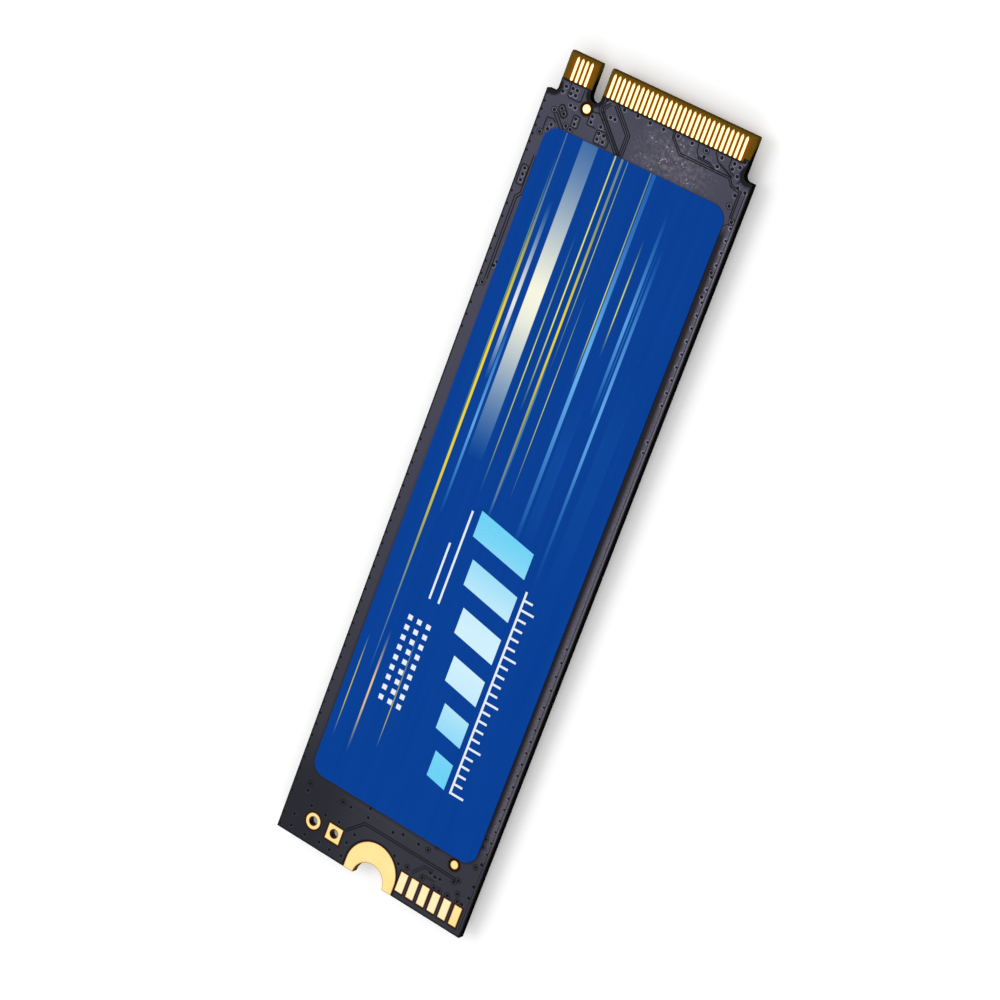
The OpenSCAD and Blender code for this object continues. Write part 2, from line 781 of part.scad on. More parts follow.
// Solder pads along two facing sides of a flat chip
module side_pads(w, n, pitch, grow = 0) {
    for (side = [-1, 1], i = [0 : n - 1])
        translate([side * (w / 2 + pad_toe - pad_l / 2), (i - (n - 1) / 2) * pitch])
            square([pad_l + 2 * grow, pitch * pad_share + 2 * grow], center = true);
}

module power_chip_pads(grow = 0) {
    translate(power_chip_at) for (turn = [0, 90]) rotate(turn)
        side_pads(power_chip_w, power_chip_pads, power_chip_pitch, grow);
}

module power_chip_solder() {
    color("silver") on_component_side(plating_t) linear_extrude(pad_h) power_chip_pads();
}

module power_chip_body() {
    color("#222226") on_component_side(plating_t)
        translate([power_chip_at.x, power_chip_at.y, pad_h])
            linear_extrude(power_chip_t) square(power_chip_w, center = true);
}

module inductor(i) {
    color("#4a4a4e") on_component_side(plating_t)
        translate([inductors_at.x + (i - (inductor_n - 1) / 2) * inductor_pitch,
                   inductors_at.y, pad_h])
            linear_extrude(inductor_h) square([inductor_w, inductor_d], center = true);
}

module inductor_1() { inductor(0); }
module inductor_2() { inductor(1); }
module inductor_3() { inductor(2); }
module inductor_4() { inductor(3); }

module inductor_feet(grow = 0) {
    row_of(inductors_at, inductor_n, inductor_pitch) for (side = [-1, 1])
        translate([side * (inductor_w / 2 + pad_toe - pad_l / 2), 0])
            square([pad_l + 2 * grow, inductor_d - 2 * pad_toe + 2 * grow], center = true);
}

module inductor_terminals() {
    color("silver") on_component_side(plating_t) linear_extrude(pad_h) inductor_feet();
}

// Rows of small capacitors: at the connector, by the controller and at the end
module at_small_caps() {
    row_of([inductors_at.x, coupling_y], coupling_caps_n, small_cap_pitch, 90) children();
    row_of([controller_at.x, controller_caps_y], controller_caps_n, small_cap_pitch, 90)
        children();
    row_of([end_rows_x, end_small_y], end_row_n, small_cap_pitch, 90) children();
}

module at_large_caps() {
    row_of([inductors_at.x, power_caps_y], inductor_n, inductor_pitch) children();
    row_of([flash_caps_x, flash_caps_y], flash_caps_n, large_cap_pitch) children();
    row_of([0, flash_gap_y], gap_caps_n, large_cap_pitch) children();
    row_of([end_rows_x, end_large_y], end_large_n, large_cap_pitch) children();
}

module at_resistors() {
    row_of([power_chip_at.x, power_resistors_y], power_resistors_n, resistor_pitch, 90)
        children();
    row_of([end_rows_x, end_resistors_y], end_row_n, resistor_pitch, 90) children();
}

// Two end terminals of a small part, as plan outlines
module end_pair(l, w, grow = 0) {
    end_l = l * terminal_share;
    for (side = [-1, 1]) translate([side * (l - end_l) / 2, 0])
        square([end_l + 2 * grow, w + 2 * grow], center = true);
}

// Middle stretch of a small part, between its terminals
module middle(l, w) {
    square([l * (1 - 2 * terminal_share), w - 2 * terminal_step], center = true);
}

module small_capacitors() {
    color("#b08a5a") on_component_side(plating_t) at_small_caps()
        translate([0, 0, terminal_step]) linear_extrude(small_cap_w - 2 * terminal_step)
            middle(small_cap_l, small_cap_w);
}
module small_capacitor_terminals() {
    color("silver") on_component_side(plating_t) at_small_caps()
        linear_extrude(small_cap_w) end_pair(small_cap_l, small_cap_w);
}

module large_capacitors() {
    color("#b08a5a") on_component_side(plating_t) at_large_caps()
        translate([0, 0, terminal_step]) linear_extrude(large_cap_w - 2 * terminal_step)
            middle(large_cap_l, large_cap_w);
}
module large_capacitor_terminals() {
    color("silver") on_component_side(plating_t) at_large_caps()
        linear_extrude(large_cap_w) end_pair(large_cap_l, large_cap_w);
}

module resistors() {
    color("#e8e6e0") on_component_side(plating_t) at_resistors()
        translate([0, 0, terminal_step]) linear_extrude(resistor_h - terminal_step)
            middle(resistor_l, resistor_w);
}
module resistor_coats() {
    color("#1b1b1e") on_component_side(plating_t) at_resistors()
        translate([0, 0, resistor_h]) linear_extrude(resistor_coat_t)
            middle(resistor_l, resistor_w);
}
module resistor_terminals() {
    color("silver") on_component_side(plating_t) at_resistors()
        linear_extrude(resistor_h) end_pair(resistor_l, resistor_w);
}

module crystal_base() {
    color("#3c3a38") on_component_side(plating_t) translate(crystal_at)
        linear_extrude(crystal_base_t) square([crystal_l, crystal_w], center = true);
}
module crystal_lid() {
    color("silver") on_component_side(plating_t)
        translate([crystal_at.x, crystal_at.y, crystal_base_t]) linear_extrude(crystal_lid_t)
            square([crystal_l - 2 * crystal_setback, crystal_w - 2 * crystal_setback],
                   center = true);
}

module boot_pad_outlines(grow = 0) {
    translate(boot_at) side_pads(boot_w, boot_pads, boot_pitch, grow);
}
module boot_flash_solder() {
    color("silver") on_component_side(plating_t) linear_extrude(pad_h) boot_pad_outlines();
}
module boot_flash_body() {
    color("#222226") on_component_side(plating_t) translate([boot_at.x, boot_at.y, pad_h])
        linear_extrude(boot_t) square([boot_w, boot_l], center = true);
}

// Places of the load switch's five leads: three on one side, two on the other
switch_leads = [[1, -1], [1, 0], [1, 1], [-1, -1], [-1, 1]];

module at_switch_leads() {
    translate([switch_at.x, switch_at.y]) for (lead = switch_leads)
        translate([lead[1] * switch_pitch, 0]) rotate(lead[0] * 90) translate([switch_w / 2, 0])
            children();
}

// Gull wing lead, seen from the side: it leaves the body, drops and ends in a flat foot
module load_switch_leads() {
    exit_z = switch_top / 2;
    foot_x = lead_reach - foot_l;
    color("silver") on_component_side(plating_t) at_switch_leads()
        rotate([90, 0, 0]) linear_extrude(lead_w, center = true)
            polygon([[0, exit_z], [0, exit_z + lead_t], [foot_x / 2 + lead_t, exit_z + lead_t],
                     [foot_x + lead_t, lead_t], [lead_reach, lead_t], [lead_reach, 0],
                     [foot_x, 0], [foot_x / 2, exit_z]]);
}
module load_switch_body() {
    color("#222226") on_component_side(plating_t)
        translate([switch_at.x, switch_at.y, switch_clear])
            linear_extrude(switch_h) square([switch_l, switch_w], center = true);
}

module switch_lands(grow = 0) {
    at_switch_leads() translate([lead_reach - foot_l - grow, -lead_w / 2 - grow])
        square([foot_l + 2 * grow, lead_w + 2 * grow]);
}

module crystal_lands(grow = 0) {
    translate(crystal_at) for (x = [-1, 1], y = [-1, 1])
        translate([x * crystal_l / 2, y * crystal_w / 2])
            square(2 * (crystal_setback + pad_toe + grow), center = true);
}

// Every solder land of the component side, grown for the mask's openings
module land_outlines(grow = 0) {
    margin = land_margin + grow;
    at_small_caps() end_pair(small_cap_l, small_cap_w, margin);
    at_large_caps() end_pair(large_cap_l, large_cap_w, margin);
    at_resistors() end_pair(resistor_l, resistor_w, margin);
    power_chip_pads(grow);
    inductor_feet(margin);
    boot_pad_outlines(margin);
    switch_lands(margin);
    crystal_lands(grow);
}

module component_lands() {
    color("#d9b46a") lower_plate(plating_t) land_outlines();
}

laminate_core();
solder_mask_label_side();
solder_mask_component_side();
edge_contacts_label_side();
edge_contacts_component_side();
screw_pad_label_side();
screw_pad_component_side();
test_pads();
header_pad_round();
header_pad_square();
fiducial_dots_label_side();
fiducial_dots_component_side();
component_lands();
label_film();
label_streaks_yellow();
label_streaks_blue();
label_streaks_white();
label_bars();
label_ticks_and_dots();
controller_substrate();
controller_mould();
controller_balls();
cache_substrate();
cache_mould();
cache_balls();
flash_1_substrate();
flash_1_mould();
flash_1_balls();
flash_2_substrate();
flash_2_mould();
flash_2_balls();
power_chip_body();
power_chip_solder();
inductor_1();
inductor_2();
inductor_3();
inductor_4();
inductor_terminals();
small_capacitors();
small_capacitor_terminals();
large_capacitors();
large_capacitor_terminals();
resistors();
resistor_coats();
resistor_terminals();
crystal_base();
crystal_lid();
boot_flash_body();
boot_flash_solder();
load_switch_body();
load_switch_leads();
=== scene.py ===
"""Looks of a gumstick solid state drive: finishes, board relief, printed label, camera and light.

Lengths are in millimetres and become metres where a mesh is made. +X is right seen from the
label side, +Y points to the connector, and z = 0 is the surface that the chips lie on.
"""

import json
import math

import bmesh
import bpy
import numpy as np
from mathutils import Matrix, Quaternion, Vector
from mathutils.geometry import delaunay_2d_cdt


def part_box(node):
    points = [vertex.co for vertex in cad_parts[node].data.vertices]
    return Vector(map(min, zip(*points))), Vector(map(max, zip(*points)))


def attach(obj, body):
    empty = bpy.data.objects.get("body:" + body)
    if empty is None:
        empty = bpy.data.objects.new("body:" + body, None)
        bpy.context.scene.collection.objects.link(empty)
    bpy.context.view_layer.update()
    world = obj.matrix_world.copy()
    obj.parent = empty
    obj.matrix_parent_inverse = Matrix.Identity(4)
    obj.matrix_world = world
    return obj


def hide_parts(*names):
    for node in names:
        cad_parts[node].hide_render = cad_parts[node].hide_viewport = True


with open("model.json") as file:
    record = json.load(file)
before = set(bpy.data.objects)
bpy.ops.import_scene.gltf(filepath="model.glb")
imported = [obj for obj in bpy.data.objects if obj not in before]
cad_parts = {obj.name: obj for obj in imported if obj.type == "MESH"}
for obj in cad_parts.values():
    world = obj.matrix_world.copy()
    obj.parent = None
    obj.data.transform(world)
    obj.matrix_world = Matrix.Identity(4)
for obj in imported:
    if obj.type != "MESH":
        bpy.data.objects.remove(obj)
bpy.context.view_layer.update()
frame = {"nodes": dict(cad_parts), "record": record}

MM = 0.001


def top_of(node):
    """Height of a CAD node's highest point, in millimetres."""
    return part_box(node)[1].z / MM


# Camera and light

CAMERA_AT = (119.689, 85.292, 251.520)
CAMERA_LOOKS_AT = (-0.975, -0.207, 2.0)
CAMERA_ROLL = -100.723  # degrees, against a camera held level
CAMERA_LENS = 114.690
CAMERA_SENSOR = 36.0  # width
CAMERA_SEES = (0.01, 20.0)  # nearest and furthest distance, in metres

SOFTBOX_AT = (-225.0, 30.0, 445.0)
SOFTBOX_SIDE = 250.0
SOFTBOX_POWER = 0.45  # watts
FILL_AT = (260.0, -330.0, 300.0)
FILL_SIDE = 300.0
FILL_POWER = 0.3
SKY = 0.8  # strength of the white sky for light that falls on the object

# Places and sizes on the board that the materials follow

SCREW_Y = -40.0  # middle of the screw notch
KEY_NOTCH_END = (-6.125, 37.1)  # middle of the key notch's round end
SHOULDER = (10.425, 36.5)  # right of the two shoulders beside the tab
HEADER_BORE = 0.45  # radius of the header pads' holes
CONTACT_PITCH = 0.5
CONTACT_X = 9.0  # rightmost contact of the label side
CONTACT_X_BELOW = 9.25  # rightmost contact of the component side
BARS_Y = -14.5  # middle of the row of printed bars
WEAVE = 15.0  # turns, in radians for each millimetre, of the glass cloth's wave

# Mesh work

WELD = 0.001  # points closer than this are one point
LEVEL = 0.002  # how far off a plate's face a point may lie
CROSSING = 1e-5  # how closely the triangulation tells points and lines apart
CAP_TURNS = (-0.8, 0.0, 0.8)  # points round the end of a groove or ridge, in radians

# Floor

FLOOR_SIDE = 6000.0
FLOOR_DROP = 0.01  # keeps the floor just under the chips' faces
FLOOR_LIFT = 0.15  # light that the floor adds towards the camera, so that it is white

# Relief of the board under its solder mask

# Heights are over the mask's flat surface. Tones are -1 for black and 1 for the palest.
# Grooves and ridges: width of the floor or top, width of each side, height and tone
GROOVE = (0.07, 0.04, -0.02, -0.9)
FINE_GROOVE = (0.03, 0.03, -0.015, -0.9)
BROAD_GROOVE = (0.14, 0.06, -0.02, -0.8)
RIDGE = (0.05, 0.04, 0.012, 0.45)
# Distance from the centre, height and tone
VIA_HOLE = [(0.15, -0.026, -1), (0.18, 0, 0)]
VIA_LAND = [(0.22, 0.008, 0.9), (0.27, 0, 0)]
VIA_RING = [(0.24, 0, 0), (0.27, -0.02, -0.8), (0.31, -0.02, -0.8), (0.35, 0, 0)]
EDGE_VIA_HOLE = [(0.09, -0.026, -1), (0.14, 0, 0)]
EDGE_VIA_LAND = [(0.19, 0.005, 1), (0.27, 0, 0)]
LAND_OFFSET = (0.02, -0.02)  # the pale lands sit off the middle of the drilled holes, as a painted highlight on one side of each
VIA_SIDES = 12
OPENING_SHADE_W = 0.16  # painted shade in a brown band of the mask round each opening
RIM_SHADE_W = 0.22  # painted shade in a dark band along the mask's outer edge
SHADE_W = 0.35  # painted shadow in a darker band round the label

# Rounded edges of the gold pads: width and drop

PAD_EDGE_W = 0.09
PAD_EDGE_DROP = 0.012

VIAS = [
    (-9.23, 36.81), (-9.38, 36.26), (-8.52, 36.88), (-8.05, 36.88), (-8.55, 36.37),
    (-8.04, 36.37), (-8.17, 35.42), (-7.67, 35.37), (-7.23, 34.51), (-7.2, 34.01),
    (-9.33, 33.11), (-9.53, 32.61), (-4.93, 37.25), (-3.02, 37.13), (-1.6, 37.14),
    (-4.05, 35.98), (-3.57, 35.99), (-5.75, 35.35), (-5.71, 34.83), (-4.63, 34.83),
    (-4.6, 34.23), (-4.05, 34.22), (-4.57, 33.69), (-3.95, 33.67), (-0.23, 37.05),
    (1.2, 37.05), (2.75, 37.05), (4.25, 37.03), (5.77, 36.39), (7.39, 36.98),
    (7.27, 36.12), (8.72, 37.0), (8.69, 36.49), (9.32, 36.9), (9.38, 36.07),
    (9.59, 37.5), (9.82, 35.2), (9.82, 34.5), (10.62, 35.08),
    (-9.17, -35.17), (-4.25, -34.31), (-2.15, -34.31), (-2.27, -33.38), (-8.24, -36.33),
    (-6.48, -36.41), (-4.88, -36.31), (-2.86, -36.57), (-3.38, -37.72), (-9.68, -38.02),
    (-9.58, -39.22), (-7.86, -39.31), (-6.15, -39.19), (-4.82, -39.31), (-3.44, -39.19),
    (0.81, -34.27), (1.87, -33.91), (3.72, -33.92), (10.48, -32.36), (10.53, -34.71),
    (10.48, -35.95), (5.91, -35.81), (6.5, -35.92), (7.06, -35.85), (10.05, -36.88),
    (1.82, -36.25), (2.48, -36.75), (-9.89, 19.16), (-9.69, 19.6), (-10.18, 32.05),
    (-10.32, 27.36), (-10.32, 27.92), (-10.32, 28.5), (10.36, 25.14),
]
RINGED_VIAS = [
    (-8.88, 34.83), (-8.52, 34.45), (-9.55, 34.45), (-7.93, 33.55), (-7.38, 33.42),
    (-10.19, 32.09), (5.77, 36.97), (9.68, 33.45), (10.42, 32.27),
    (-9.18, -34.41), (-5.23, -34.31), (4.85, -33.92), (5.59, -33.14), (8.86, -34.98),
    (8.46, -35.36), (10.0, -32.92), (9.27, -36.19), (9.5, -36.88), (3.48, -36.55),
    (5.28, -36.7), (6.77, -36.92), (7.36, -36.92), (8.36, -36.88),
    (-10.39, 17.3), (10.39, 27.45), (10.41, 32.25), (9.96, -30.72), (9.96, -29.9),
]
# Stitching vias along the long sides: x, first y, last y, number
EDGE_ROWS = [
    (-10.78, -39.58, -38.35, 2), (-10.78, -35.98, 2.5, 33), (-10.78, 12.75, 15.14, 3),
    (-10.78, 16.78, 21.69, 5), (-10.78, 23.63, 26.13, 3), (-10.78, 30.09, 33.25, 5),
    (-10.78, 34.01, 35.59, 3),
    (10.57, -31.2, -15.67, 14), (10.57, -13.9, -9.67, 4), (10.57, 10.1, 11.15, 2),
    (10.57, 14.72, 24.69, 9), (10.57, 25.92, 31.7, 6),
]
# Gaps in the copper that show as grooves: number of parallel lines, their distance, the path
TRACES = [
    (3, 0.2, [(-5.2, 37.3), (-5.2, 36.2), (-2.3, 33.3), (-2.3, 32.9)]),
    (2, 0.2, [(-4.47, 37.03), (-4.95, 36.5), (-4.8, 36.0), (-2.0, 33.2)]),
    (3, 0.2, [(-3.9, 37.2), (-1.83, 35.15), (-1.83, 32.8)]),
    (2, 0.18, [(2.3, 37.3), (2.35, 36.8), (3.5, 35.68), (8.75, 35.68), (9.2, 35.1), (10.18, 34.9),
               (10.18, 32.5)]),
    (1, 0, [(4.85, 37.3), (4.95, 36.6), (5.27, 36.14)]),
    (2, 0.16, [(5.27, 36.14), (6.45, 36.05), (7.0, 35.8)]),
    (1, 0, [(6.7, 37.2), (7.2, 36.5), (7.45, 36.4)]),
    (1, 0, [(8.3, 37.3), (8.33, 36.5), (8.6, 36.2), (9.1, 36.0)]),
    (1, 0, [(9.85, 37.3), (9.9, 35.9), (9.6, 35.55)]),
    (1, 0, [(-9.62, 37.3), (-8.9, 37.3), (-8.8, 37.1), (-8.8, 36.15), (-8.6, 35.97),
            (-7.5, 35.97), (-7.33, 36.15), (-7.33, 37.15)]),
    (1, 0, [(-6.98, 37.25), (-6.98, 36.9), (-6.6, 36.5)]),
    (1, 0, [(-7.5, 34.7), (-7.4, 34.8), (-6.9, 34.8), (-6.8, 34.7), (-6.8, 33.8), (-6.9, 33.7),
            (-7.4, 33.7), (-7.5, 33.8), (-7.5, 34.7)]),
    (1, 0, [(-4.87, 34.4), (-4.77, 34.5), (-4.0, 34.5), (-3.4, 33.9), (-3.4, 33.4), (-3.5, 33.27),
            (-4.77, 33.27), (-4.87, 33.4), (-4.87, 34.4)]),
    (1, 0, [(-6.05, 35.6), (-6.05, 34.6), (-5.95, 34.5), (-5.1, 34.5)]),
    (1, 0, [(-5.95, 35.75), (-5.2, 35.85), (-4.6, 35.4)]),
    (1, 0, [(-9.15, 34.9), (-9.05, 35.15), (-8.75, 35.2), (-8.2, 34.65), (-8.15, 34.35),
            (-8.4, 34.05), (-8.7, 34.1), (-9.15, 34.6), (-9.15, 34.9)]),
    (2, 0.3, [(-9.3, 34.2), (-8.25, 33.15), (-8.25, 32.9)]),
    (1, 0, [(-9.95, 33.6), (-10.0, 32.9), (-9.95, 32.4)]),
    (1, 0, [(-9.95, 33.6), (-9.3, 33.65), (-9.0, 33.4)]),
    (2, 0.25, [(-10.2, 17.75), (-10.2, 25.8), (-9.77, 26.3), (-9.77, 29.9)]),
    (1, 0, [(-10.6, 28.8), (-10.1, 28.8), (-9.98, 28.65), (-9.98, 27.05), (-10.1, 26.9),
            (-10.6, 26.9), (-10.7, 27.05), (-10.7, 28.65), (-10.6, 28.8)]),
    (2, 0.22, [(8.5, -35.02), (-2.25, -35.02), (-3.9, -36.65)]),
]
FINE_TRACES = [
    (3, 0.15, [(6.2, -35.55), (5.1, -35.6), (4.1, -36.8)]),
    (2, 0.15, [(5.2, -36.38), (6.6, -36.38)]),
    (1, 0, [(10.7, 34.9), (10.7, -39.3)]),
    (1, 0, [(9.7, 31.55), (10.1, 31.9), (10.3, 31.95)]),
]
BROAD_TRACES = [(1, 0, [(7.45, 36.4), (8.2, 36.1), (8.9, 35.8)])]
RIDGES = [(1, 0, [(-5, -33.7), (6.5, -33.7)]), (1, 0, [(5.3, -36.18), (6.7, -36.18)]),
          (1, 0, [(10.81, 34.9), (10.81, -39.3)])]
# Traces of the component side, which end in vias
UNDER_TRACES = [
    (4, 0.45, [(-6.6, 11.6), (-6.6, 10.4), (-3.9, 7.7), (-3.9, 7.1)]),
    (4, 0.45, [(-1.2, 11.6), (-1.2, 9.6), (1.1, 7.3), (1.1, 7.1)]),
    (3, 0.45, [(3.4, 12.0), (3.4, 9.2), (4.9, 7.7), (4.9, 6.0)]),
    (2, 0.45, [(-9.3, -9.0), (-9.3, -16.0)]),
    (3, 0.45, [(9.2, -9.0), (9.2, -16.0)]),
    (2, 0.45, [(3.2, 28.0), (3.2, 24.0)]),
]
VIA_CLEARANCE = 0.42  # between a via on the component side and the nearest opening of the mask

# Printed streaks of the label

# Ink, place across the label, width (or the width at each y), and how strong the print is at each y
STREAKS = [
    ("yellow", -7.45, [(33.1, 0.12), (27, 0.2), (22, 0.3), (-4, 0.3), (-14, 0.17), (-22, 0.12)],
     [(33.1, 0.3), (27, 0.35), (24, 0.5), (21, 0.75), (16, 0.95), (11, 1), (-0.5, 0.95),
      (-4, 0.78), (-8, 0.6), (-12, 0.45), (-17, 0.3), (-22, 0)]),
    ("lemon", -7.68, 0.14, [(31, 0), (27, 0.3), (22, 0.45), (16, 0.5), (11, 0.4), (6, 0.25), (0, 0)]),
    ("lemon", -3.13, 0.14, [(25.6, 0), (20, 0.5), (13, 0.95), (5, 0.6), (-0.7, 0)]),
    ("lemon", -2.18, 0.17, [(33.1, 0.85), (25, 1), (17, 1), (12, 0.6), (8, 0)]),
    ("yellow", -1.43, 0.26, [(33.1, 0.4), (27, 0.55), (21, 0.85), (17, 1), (12, 0.9), (7, 0.6),
                             (0, 0.35), (-2.3, 0)]),
    ("lemon", 1.64, 0.13, [(33.1, 0.45), (27, 0.65), (22, 0.9), (18, 0.9), (15, 0.5), (12.7, 0)]),
    ("lemon", 3.3, 0.15, [(27.5, 0), (23, 0.9), (20, 0.9), (16, 0)]),
    ("yellow", -8.7, 0.13, [(-17.8, 0), (-21, 0.8), (-25, 0.85), (-29, 0)]),
    ("yellow", -3.9, 0.13, [(-15.3, 0), (-19, 0.45), (-23, 0.75), (-25, 0.7), (-27.8, 0)]),
    ("white", -6.6, 0.42, [(27, 0), (23, 0.45), (20, 0.8), (17, 1), (15, 0.85), (12, 0.4), (9.3, 0)]),
    ("peach", -6.72, 0.24, [(-16.5, 0), (-19, 0.5), (-22, 1), (-25, 0.85), (-27, 0.5), (-29.6, 0)]),
    ("lemon", -0.85, 0.1, [(33.1, 0.45), (27, 0.75), (22, 0.8), (16, 0.3), (12, 0)]),
    ("lemon", -0.03, 0.1, [(21, 0), (16, 0.55), (11, 0.9), (6, 0.7), (0, 0)]),
    ("cream", -4.9, 1.7, [(33.1, 0.24), (30, 0.38), (26, 0.62), (22, 0.85), (19, 1), (16, 0.95),
                          (12, 0.7), (8, 0.4), (4.5, 0.16), (2, 0)]),
    ("blue", -6.17, 0.3, [(16, 0), (11, 0.6), (5, 0.95), (0, 0.5), (-4.4, 0)]),
    ("blue", -1.23, 0.12, [(15, 0), (10, 0.7), (5, 0.6), (0, 0)]),
    ("blue", 1.99, 0.42, [(33.1, 0.3), (27, 0.45), (21, 0.75), (16, 1), (13, 1), (8, 0.75),
                          (4, 0.5), (0, 0.3), (-3.6, 0)]),
    ("blue", 4.56, 0.34, [(30.6, 0), (25, 0.5), (20, 0.9), (15, 0.5), (10.6, 0)]),
    ("blue", 4.93, 0.12, [(28, 0), (22, 0.4), (16, 0.35), (9, 0)]),
    ("blue", 5.33, 0.34, [(27.5, 0), (20, 0.6), (12, 0.95), (7, 0.85), (3, 0.45), (-1, 0.2),
                          (-6, 0)]),
    ("blue", 7.2, 1.6, [(17, 0), (9, 0.06), (2, 0.05), (-6, 0)]),
    ("blue", 3.1, 1.2, [(12, 0), (6, 0.08), (0, 0.05), (-2.5, 0)]),
]
STREAK_H = 0.01
STREAK_SUNK = 0.005  # into the label
STREAK_STEPS = 40
STREAK_SOFT = 0.06  # width of a streak's soft side
STREAK_SIDE = [0.3, 0.85, 1]  # strength of the print from a streak's side inwards

# Colours, as seen on a screen (sRGB, 0 to 255)

INKS = {
    "yellow": (250, 220, 46),
    "lemon": (242, 241, 104),
    "peach": (252, 206, 140),
    "white": (240, 238, 229),
    "cream": (255, 252, 226),
    "blue": (104, 174, 236),
}

# The CAD nodes that the streaks stand for, with their material slots and inks
PRINTED_AS = [
    ("label_streaks_yellow", "ink_yellow", ("yellow", "lemon")),
    ("label_streaks_blue", "ink_light_blue", ("blue",)),
    ("label_streaks_white", "ink_cream", ("cream", "white", "peach")),
]


def rgb(red, green, blue):
    """A screen colour as the linear colour that a shader takes."""
    part = [v / 255 for v in (red, green, blue)]
    return (*[v / 12.92 if v <= 0.04045 else ((v + 0.055) / 1.055) ** 2.4 for v in part], 1.0)


GAMMA = 2.2  # prints fade evenly on a screen, not in linear light


class Shader:
    """A material's node tree, with one short call for each kind of node."""

    def __init__(self, name, **settings):
        self.material = bpy.data.materials.new(name)
        self.material.use_nodes = True
        self.tree = self.material.node_tree
        self.surface = self.tree.nodes["Principled BSDF"]
        for key, value in settings.items():
            self.set(key.replace("_", " "), value)
        in_metres = self.node("ShaderNodeTexCoord").outputs["Object"]
        scaled = self.node("ShaderNodeVectorMath", operation="SCALE")
        self.join(in_metres, scaled.inputs[0])
        scaled.inputs["Scale"].default_value = 1 / MM
        self.place = scaled.outputs[0]
        split = self.node("ShaderNodeSeparateXYZ")
        self.join(self.place, split.inputs[0])
        self.x, self.y, self.z = split.outputs

    def node(self, kind, **settings):
        made = self.tree.nodes.new(kind)
        for key, value in settings.items():
            setattr(made, key, value)
        return made

    def join(self, value, socket):
        if isinstance(value, bpy.types.NodeSocket):
            self.tree.links.new(value, socket)
        else:
            socket.default_value = value

    def set(self, name, value):
        self.join(value, self.surface.inputs[name])

    def rough(self, pattern, low, high):
        self.set("Roughness", self.fit(pattern, 0.3, 0.7, low, high))

    def math(self, operation, *values):
        made = self.node("ShaderNodeMath", operation=operation)
        for value, socket in zip(values, made.inputs):
            self.join(value, socket)
        return made.outputs[0]

    def fit(self, value, low, high, to_low=0.0, to_high=1.0):
        """Maps low..high smoothly onto to_low..to_high and stays inside."""
        made = self.node("ShaderNodeMapRange", interpolation_type="SMOOTHSTEP")
        for number, socket in zip((value, low, high, to_low, to_high), made.inputs):
            self.join(number, socket)
        return made.outputs[0]

    def times(self, first, *others):
        product = first
        for value in others:
            product = self.math("MULTIPLY", product, value)
        return product

    def mix(self, share, first, second):
        made = self.node("ShaderNodeMix", data_type="RGBA")
        self.join(share, made.inputs[0])
        self.join(first, made.inputs[6])
        self.join(second, made.inputs[7])
        return made.outputs[2]

    def gamma(self, colour, power):
        made = self.node("ShaderNodeGamma")
        self.join(colour, made.inputs["Color"])
        made.inputs["Gamma"].default_value = power
        return made.outputs[0]

    def fade(self, share, colour, ink):
        """Fades a colour into an ink, given as it shows on a screen, as a print does."""
        return self.gamma(self.mix(share, self.gamma(colour, 1 / GAMMA), ink), GAMMA)

    def off(self, x, y):
        """How far a point lies from a place along X, and how far along Y."""
        return [self.math("ABSOLUTE", self.math("SUBTRACT", a, b))
                for a, b in ((self.x, x), (self.y, y))]

    def reach(self, x, y, mirrored=False):
        """Distance from an upright axis, or from the nearer of it and its mirror image."""
        across = self.math("ABSOLUTE", self.x) if mirrored else self.x
        off = [self.math("SUBTRACT", a, b) for a, b in ((across, x), (self.y, y))]
        return self.math("SQRT", self.math("ADD", *[self.times(v, v) for v in off]))

    def stretched(self, x, y, z):
        made = self.node("ShaderNodeVectorMath", operation="MULTIPLY")
        self.join(self.place, made.inputs[0])
        made.inputs[1].default_value = (x, y, z)
        return made.outputs[0]

    def noise(self, scale, detail=3.0, rough=0.55, place=None):
        made = self.node("ShaderNodeTexNoise")
        self.join(place or self.place, made.inputs["Vector"])
        made.inputs["Scale"].default_value = scale
        made.inputs["Detail"].default_value = detail
        made.inputs["Roughness"].default_value = rough
        return made.outputs["Fac"]

    def specks(self, scale, radius):
        """Round specks on a jittered grid: 1 in the middle of each, 0 outside."""
        made = self.node("ShaderNodeTexVoronoi")
        self.join(self.place, made.inputs["Vector"])
        made.inputs["Scale"].default_value = scale
        return self.fit(made.outputs["Distance"], radius, 0.0)

    def attribute(self, name):
        return self.node("ShaderNodeAttribute", attribute_name=name).outputs["Fac"]

    def faces_up(self):
        """1 on faces that look up or down, 0 on upright walls."""
        split = self.node("ShaderNodeSeparateXYZ")
        self.join(self.node("ShaderNodeNewGeometry").outputs["True Normal"], split.inputs[0])
        return self.fit(self.math("ABSOLUTE", split.outputs[2]), 0.5, 0.8)

    def bump(self, height, distance, strength):
        made = self.node("ShaderNodeBump")
        self.join(height, made.inputs["Height"])
        made.inputs["Distance"].default_value = distance * MM
        made.inputs["Strength"].default_value = strength
        self.set("Normal", made.outputs[0])


# Materials


